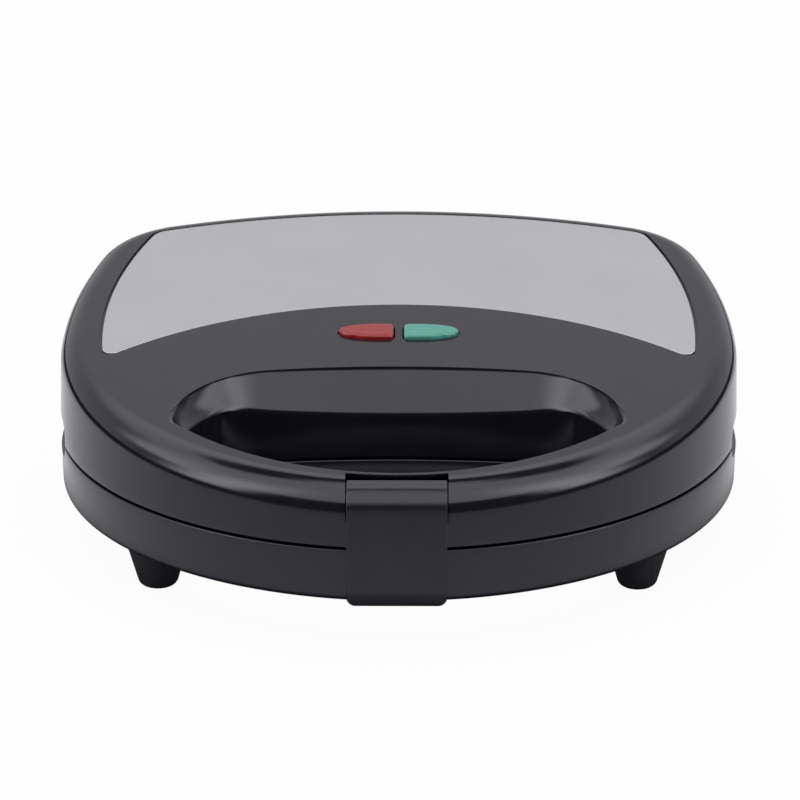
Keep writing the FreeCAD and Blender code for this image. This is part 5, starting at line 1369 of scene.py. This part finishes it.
# Bands of the room: a height is the sine of the elevation, a heading runs from -1 in front to 1 behind
FRONT_WALL, BACK_WALL, FRONT_TO_BACK = (0.30, 0.40), (0.57, 0.78), (-0.25, 0.25)
GAP = (0.85, 0.90), (0.96, 0.985)
PANEL_LEAN, PANEL_WIDE, PANEL_TALL = 0.37, ((-0.70, -0.45), (-0.40, 0.05)), ((-0.1, 0.15), (0.40, 0.92))
WING_SHARE, WING_WIDE, WING_TALL = 0.5, ((-0.45, -0.25), (0.05, 0.3)), ((0.20, 0.46), (0.5, 0.9))
LAMP_SIZE, LAMP_PLACE, CLIP_END = 1.2, (0.0, 0.1, 1.3), 50.0


# Operators

class Maker:
    """What the operators share: the sizes go in and the pieces come out."""

    def execute(self, context):
        s = context.scene.sandwich
        self.make(context, s, Levels(s))
        return {"FINISHED"}


class SANDWICH_OT_lid(Maker, bpy.types.Operator):
    """Make the lid moulding with its hand opening, seats, notch, vents and knuckles"""
    bl_idname = "sandwich.lid"
    bl_label = "Lid Moulding"

    def make(self, context, s, level):
        data = lid_mesh(context, s, level)
        piece(context, data, ["lid_shell"], "lid", gloss_black(s.finish))


class SANDWICH_OT_base(Maker, bpy.types.Operator):
    """Make the base moulding with its pan, hand opening, vents, ears and gland seat"""
    bl_idname = "sandwich.base"
    bl_label = "Base Moulding"

    def make(self, context, s, level):
        data = base_mesh(context, s, level)
        piece(context, data, ["base_shell"], "base", bpy.data.materials["gloss_black_plastic"])


class SANDWICH_OT_latch(Maker, bpy.types.Operator):
    """Make the latch with its rolled top, creased foot and hook"""
    bl_idname = "sandwich.latch"
    bl_label = "Latch"

    def make(self, context, s, level):
        clip, hook = latch_mesh(s, level)
        data = joined(context, clip, [hook], "UNION")
        piece(context, data, ["latch"], "latch",
              gloss_black(s.finish, "latch_plastic", (0.26, 0.32)), sharp=26.0)


class SANDWICH_OT_top_sheet(Maker, bpy.types.Operator):
    """Make the steel sheet that lies in the lid's top"""
    bl_idname = "sandwich.top_sheet"
    bl_label = "Steel Sheet"

    def make(self, context, s, level):
        piece(context, steel_mesh(s, level), ["steel_top_plate"], "lid", satin_steel(s.finish))


class SANDWICH_OT_lenses(Maker, bpy.types.Operator):
    """Make the red and green lamp lenses"""
    bl_idname = "sandwich.lenses"
    bl_label = "Lamp Lenses"

    def make(self, context, s, level):
        for node, side, colour in (("red_lens", -1, s.finish.red), ("green_lens", 1, s.finish.green)):
            data = lens_mesh(s, level, side, node + "_cap")
            piece(context, data, [node], "lid", lens_plastic(s, node + "_plastic", colour))


class SANDWICH_OT_plates(Maker, bpy.types.Operator):
    """Make the two cooking plates with their triangular pockets"""
    bl_idname = "sandwich.plates"
    bl_label = "Cooking Plates"

    def make(self, context, s, level):
        coat = nonstick(s.finish)
        for node, upper, body in (("lower_cooking_plate", False, "base"), ("upper_cooking_plate", True, "lid")):
            piece(context, plate_mesh(s, level, upper, node + "_casting"), [node], body, coat)


class SANDWICH_OT_feet(Maker, bpy.types.Operator):
    """Make the four rubber feet"""
    bl_idname = "sandwich.feet"
    bl_label = "Feet"

    def make(self, context, s, level):
        finish = rubber(s.finish)
        for node in ("foot_front_left", "foot_front_right", "foot_rear_left", "foot_rear_right"):
            piece(context, foot_mesh(s, node), [node], "base", finish)


class SANDWICH_OT_fittings(Maker, bpy.types.Operator):
    """Finish the carried-over heaters, sheets, pins, screws, lamps and controls"""
    bl_idname = "sandwich.fittings"
    bl_label = "Fittings"

    def make(self, context, s, level):
        finish = s.finish
        nylon = dull_plastic("natural_nylon", finish.nylon)
        plated = metal("plated_steel", finish.plated, (0.22, 0.36))
        sheath = metal("heater_sheath", finish.sheath, (0.34, 0.5), (400.0, 60.0, 400.0), 0.6)
        sheet = metal("bright_sheet", finish.sheet, (0.2, 0.34), (1500.0, 60.0, 1500.0), 0.94)
        glass = lamp_glass(finish)
        looks = {
            "lower_heater": sheath, "upper_heater": sheath, "lower_reflector": sheet, "upper_reflector": sheet,
            "hinge_pin_left": plated, "hinge_pin_right": plated, "base_screws": plated,
            "latch_pin": metal("blackened_steel", finish.blackened, (0.3, 0.44)),
            "lid_screws": plated, "lamp_holder": nylon, "terminal_block": nylon,
            "red_neon_lamp": glass, "green_neon_lamp": glass,
            "thermostat": dull_plastic("phenolic", finish.phenolic),
            "thermal_fuse": metal("fuse_case", finish.plated, (0.3, 0.42), (500.0, 500.0, 500.0), 0.9),
            "cord_gland": bpy.data.materials["matt_rubber"],
        }
        for node, look in looks.items():
            dress(node, look)


class SANDWICH_OT_stage(Maker, bpy.types.Operator):
    """Make the pale floor, the studio surround, the lamp and the camera"""
    bl_idname = "sandwich.stage"
    bl_label = "Stage"

    def make(self, context, s, level):
        scene, stage = context.scene, s.stage
        scene.view_settings.view_transform = "Standard"
        floor_plane(context, stage)
        surround(scene, stage)
        lamp = bpy.data.lights.new("overhead", "AREA")
        lamp.energy, lamp.size = stage.key, LAMP_SIZE
        holder = bpy.data.objects.new("overhead", lamp)
        holder.location = LAMP_PLACE
        holder.visible_glossy = False
        scene.collection.objects.link(holder)
        camera = bpy.data.cameras.new("camera")
        camera.lens, camera.sensor_width, camera.shift_x = stage.lens, stage.sensor, stage.shift
        camera.clip_end = CLIP_END
        eye = bpy.data.objects.new("camera", camera)
        target = Vector((0.0, stage.target_y, stage.target_z))
        reach = math.cos(stage.elevation)
        back = Vector((reach * math.sin(stage.aside), -reach * math.cos(stage.aside), math.sin(stage.elevation)))
        eye.location = target + back * stage.distance
        eye.rotation_euler = back.to_track_quat("Z", "Y").to_euler()
        scene.collection.objects.link(eye)
        scene.camera = eye


def floor_plane(context, stage):
    """A flat white floor that keeps shadows: white to the camera; pale round the object in reflections, with a
    painted shadow under it, and dark well in front of it."""
    half = stage.floor
    data = bpy.data.meshes.new("floor")
    data.from_pydata([(-half, -half, 0), (half, -half, 0), (half, half, 0), (-half, half, 0)], [], [(0, 1, 2, 3)])
    floor = bpy.data.objects.new("floor", data)
    context.scene.collection.objects.link(floor)
    f = Finish("white_floor", base_color=(0.86, 0.86, 0.86), roughness=0.9, specular_ior_level=0.0)
    path = f.node("ShaderNodeLightPath").outputs
    along = f.node("ShaderNodeSeparateXYZ", {"Vector": f.coords}).outputs["Y"]

    def span(vector, band):
        return f.step(f.node("ShaderNodeVectorMath", {0: vector}, operation="LENGTH").outputs["Value"], band)

    ahead = f.node("ShaderNodeVectorMath", {0: f.stretched(FLOOR_SQUEEZE), 1: AHEAD_ONLY}, operation="MINIMUM")
    far = span(ahead.outputs["Vector"], FLOOR_FAR)
    # painted shadow: in reflections the floor's brightness falls to the shade level under the object, and also well
    # in front of it
    lit = f.node("ShaderNodeMath", {0: span(f.coords, FLOOR_PAINTED_SHADOW), 1: far}, operation="SUBTRACT", use_clamp=True)
    shares = f.step(along, FLOOR_TURN, stage.near_floor, stage.side_floor)
    level = f.between(lit.outputs["Value"], stage.shade, shares, 0.0, 1.0)
    white = f.node("ShaderNodeEmission", {"Color": (1.0, 1.0, 1.0, 1.0)}).outputs["Emission"]
    mirror = f.node("ShaderNodeEmission", {"Color": (*stage.cast, 1.0), "Strength": level}).outputs["Emission"]
    shown = f.maths("MULTIPLY", path["Is Camera Ray"], stage.white)
    bright = f.maths("MAXIMUM", path["Is Glossy Ray"], path["Is Transmission Ray"])
    first = f.node("ShaderNodeMixShader", {0: shown, 1: f.shader.outputs["BSDF"], 2: white}).outputs["Shader"]
    second = f.node("ShaderNodeMixShader", {0: bright, 1: first, 2: mirror}).outputs["Shader"]
    f.links.new(second, f.nodes["Material Output"].inputs["Surface"])
    data.materials.append(f.material)


def surround(scene, stage):
    """The room: white to the camera and even light on matt surfaces; in reflections pale at the back with a dark
    gap high up, dark low in front with a bright wall over it, and a bright panel at each side."""
    world = bpy.data.worlds.new("surround")
    scene.world = world
    world.use_nodes = True
    t = Tree(world.node_tree)
    t.nodes.clear()

    def band(value, rise, fall, most=1.0):
        return t.maths("MULTIPLY", t.step(value, rise, 0.0, most), t.step(value, fall, 1.0, 0.0))

    parts = t.node("ShaderNodeSeparateXYZ", {0: t.node("ShaderNodeTexCoord").outputs["Generated"]}).outputs
    up, along = parts["Z"], parts["Y"]
    flat = t.maths("POWER", t.maths("SUBTRACT", 1.0, t.maths("MULTIPLY", up, up)), 0.5)
    facing = t.maths("DIVIDE", along, flat)
    ahead = t.step(up, FRONT_WALL, stage.shade, stage.front)
    behind = t.maths("MULTIPLY", t.step(up, BACK_WALL, stage.surround, stage.high),
                     t.maths("SUBTRACT", 1.0, band(up, *GAP)))
    room = t.blend(t.step(facing, FRONT_TO_BACK), ahead, behind)
    lean = t.maths("ADD", facing, t.maths("MULTIPLY", up, PANEL_LEAN))
    panel = t.maths("MULTIPLY", band(lean, *PANEL_WIDE), band(up, *PANEL_TALL))
    wing = t.maths("MULTIPLY", band(facing, *WING_WIDE), band(up, *WING_TALL, WING_SHARE))
    mirror = t.blend(t.maths("MAXIMUM", panel, wing), room, stage.panel)
    path = t.node("ShaderNodeLightPath").outputs
    shiny = t.maths("MAXIMUM", path["Is Glossy Ray"], path["Is Transmission Ray"])
    level = t.blend(path["Is Camera Ray"], t.blend(shiny, stage.fill, mirror), 1.0)
    colour = t.tint(path["Is Camera Ray"], stage.cast, (1.0, 1.0, 1.0))
    shader = t.node("ShaderNodeBackground", {"Color": colour, "Strength": level}).outputs["Background"]
    t.links.new(shader, t.nodes.new("ShaderNodeOutputWorld").inputs["Surface"])


class SANDWICH_PT_panel(bpy.types.Panel):
    """Lists the operators and the sizes"""
    bl_idname = "SANDWICH_PT_panel"
    bl_label = "Sandwich Maker"
    bl_space_type = "VIEW_3D"
    bl_region_type = "UI"
    bl_category = "Sandwich Maker"

    def draw(self, context):
        for operator in OPERATORS:
            self.layout.operator(operator.bl_idname)
        for name in context.scene.sandwich.bl_rna.properties.keys():
            group = getattr(context.scene.sandwich, name)
            if not isinstance(group, bpy.types.PropertyGroup):
                continue
            column = self.layout.box().column()
            column.label(text=name.capitalize())
            for key in group.bl_rna.properties.keys():
                if key not in ("rna_type", "name"):
                    column.prop(group, key, text=key.replace("_", " ").capitalize())


GROUPS = (ShellSizes, PanSizes, GripSizes, VentSizes, HingeSizes, GlandSizes, LatchSizes, SteelSizes, LensSizes,
          PlateSizes, FootSizes, Finishes, StageSizes, SandwichMaker)
OPERATORS = (SANDWICH_OT_lid, SANDWICH_OT_base, SANDWICH_OT_latch, SANDWICH_OT_top_sheet, SANDWICH_OT_lenses,
             SANDWICH_OT_plates, SANDWICH_OT_feet, SANDWICH_OT_fittings, SANDWICH_OT_stage)


def register():
    for kind in GROUPS + OPERATORS + (SANDWICH_PT_panel,):
        bpy.utils.register_class(kind)
    bpy.types.Scene.sandwich = PointerProperty(type=SandwichMaker, name="Sandwich maker",
                                               description="Sizes and colours")


def unregister():
    del bpy.types.Scene.sandwich
    for kind in reversed(GROUPS + OPERATORS + (SANDWICH_PT_panel,)):
        bpy.utils.unregister_class(kind)


def main():
    """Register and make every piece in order."""
    register()
    bpy.ops.sandwich.lid()
    bpy.ops.sandwich.base()
    bpy.ops.sandwich.latch()
    bpy.ops.sandwich.top_sheet()
    bpy.ops.sandwich.lenses()
    bpy.ops.sandwich.plates()
    bpy.ops.sandwich.feet()
    bpy.ops.sandwich.fittings()
    bpy.ops.sandwich.stage()
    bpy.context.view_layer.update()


if __name__ == "__main__":
    main()
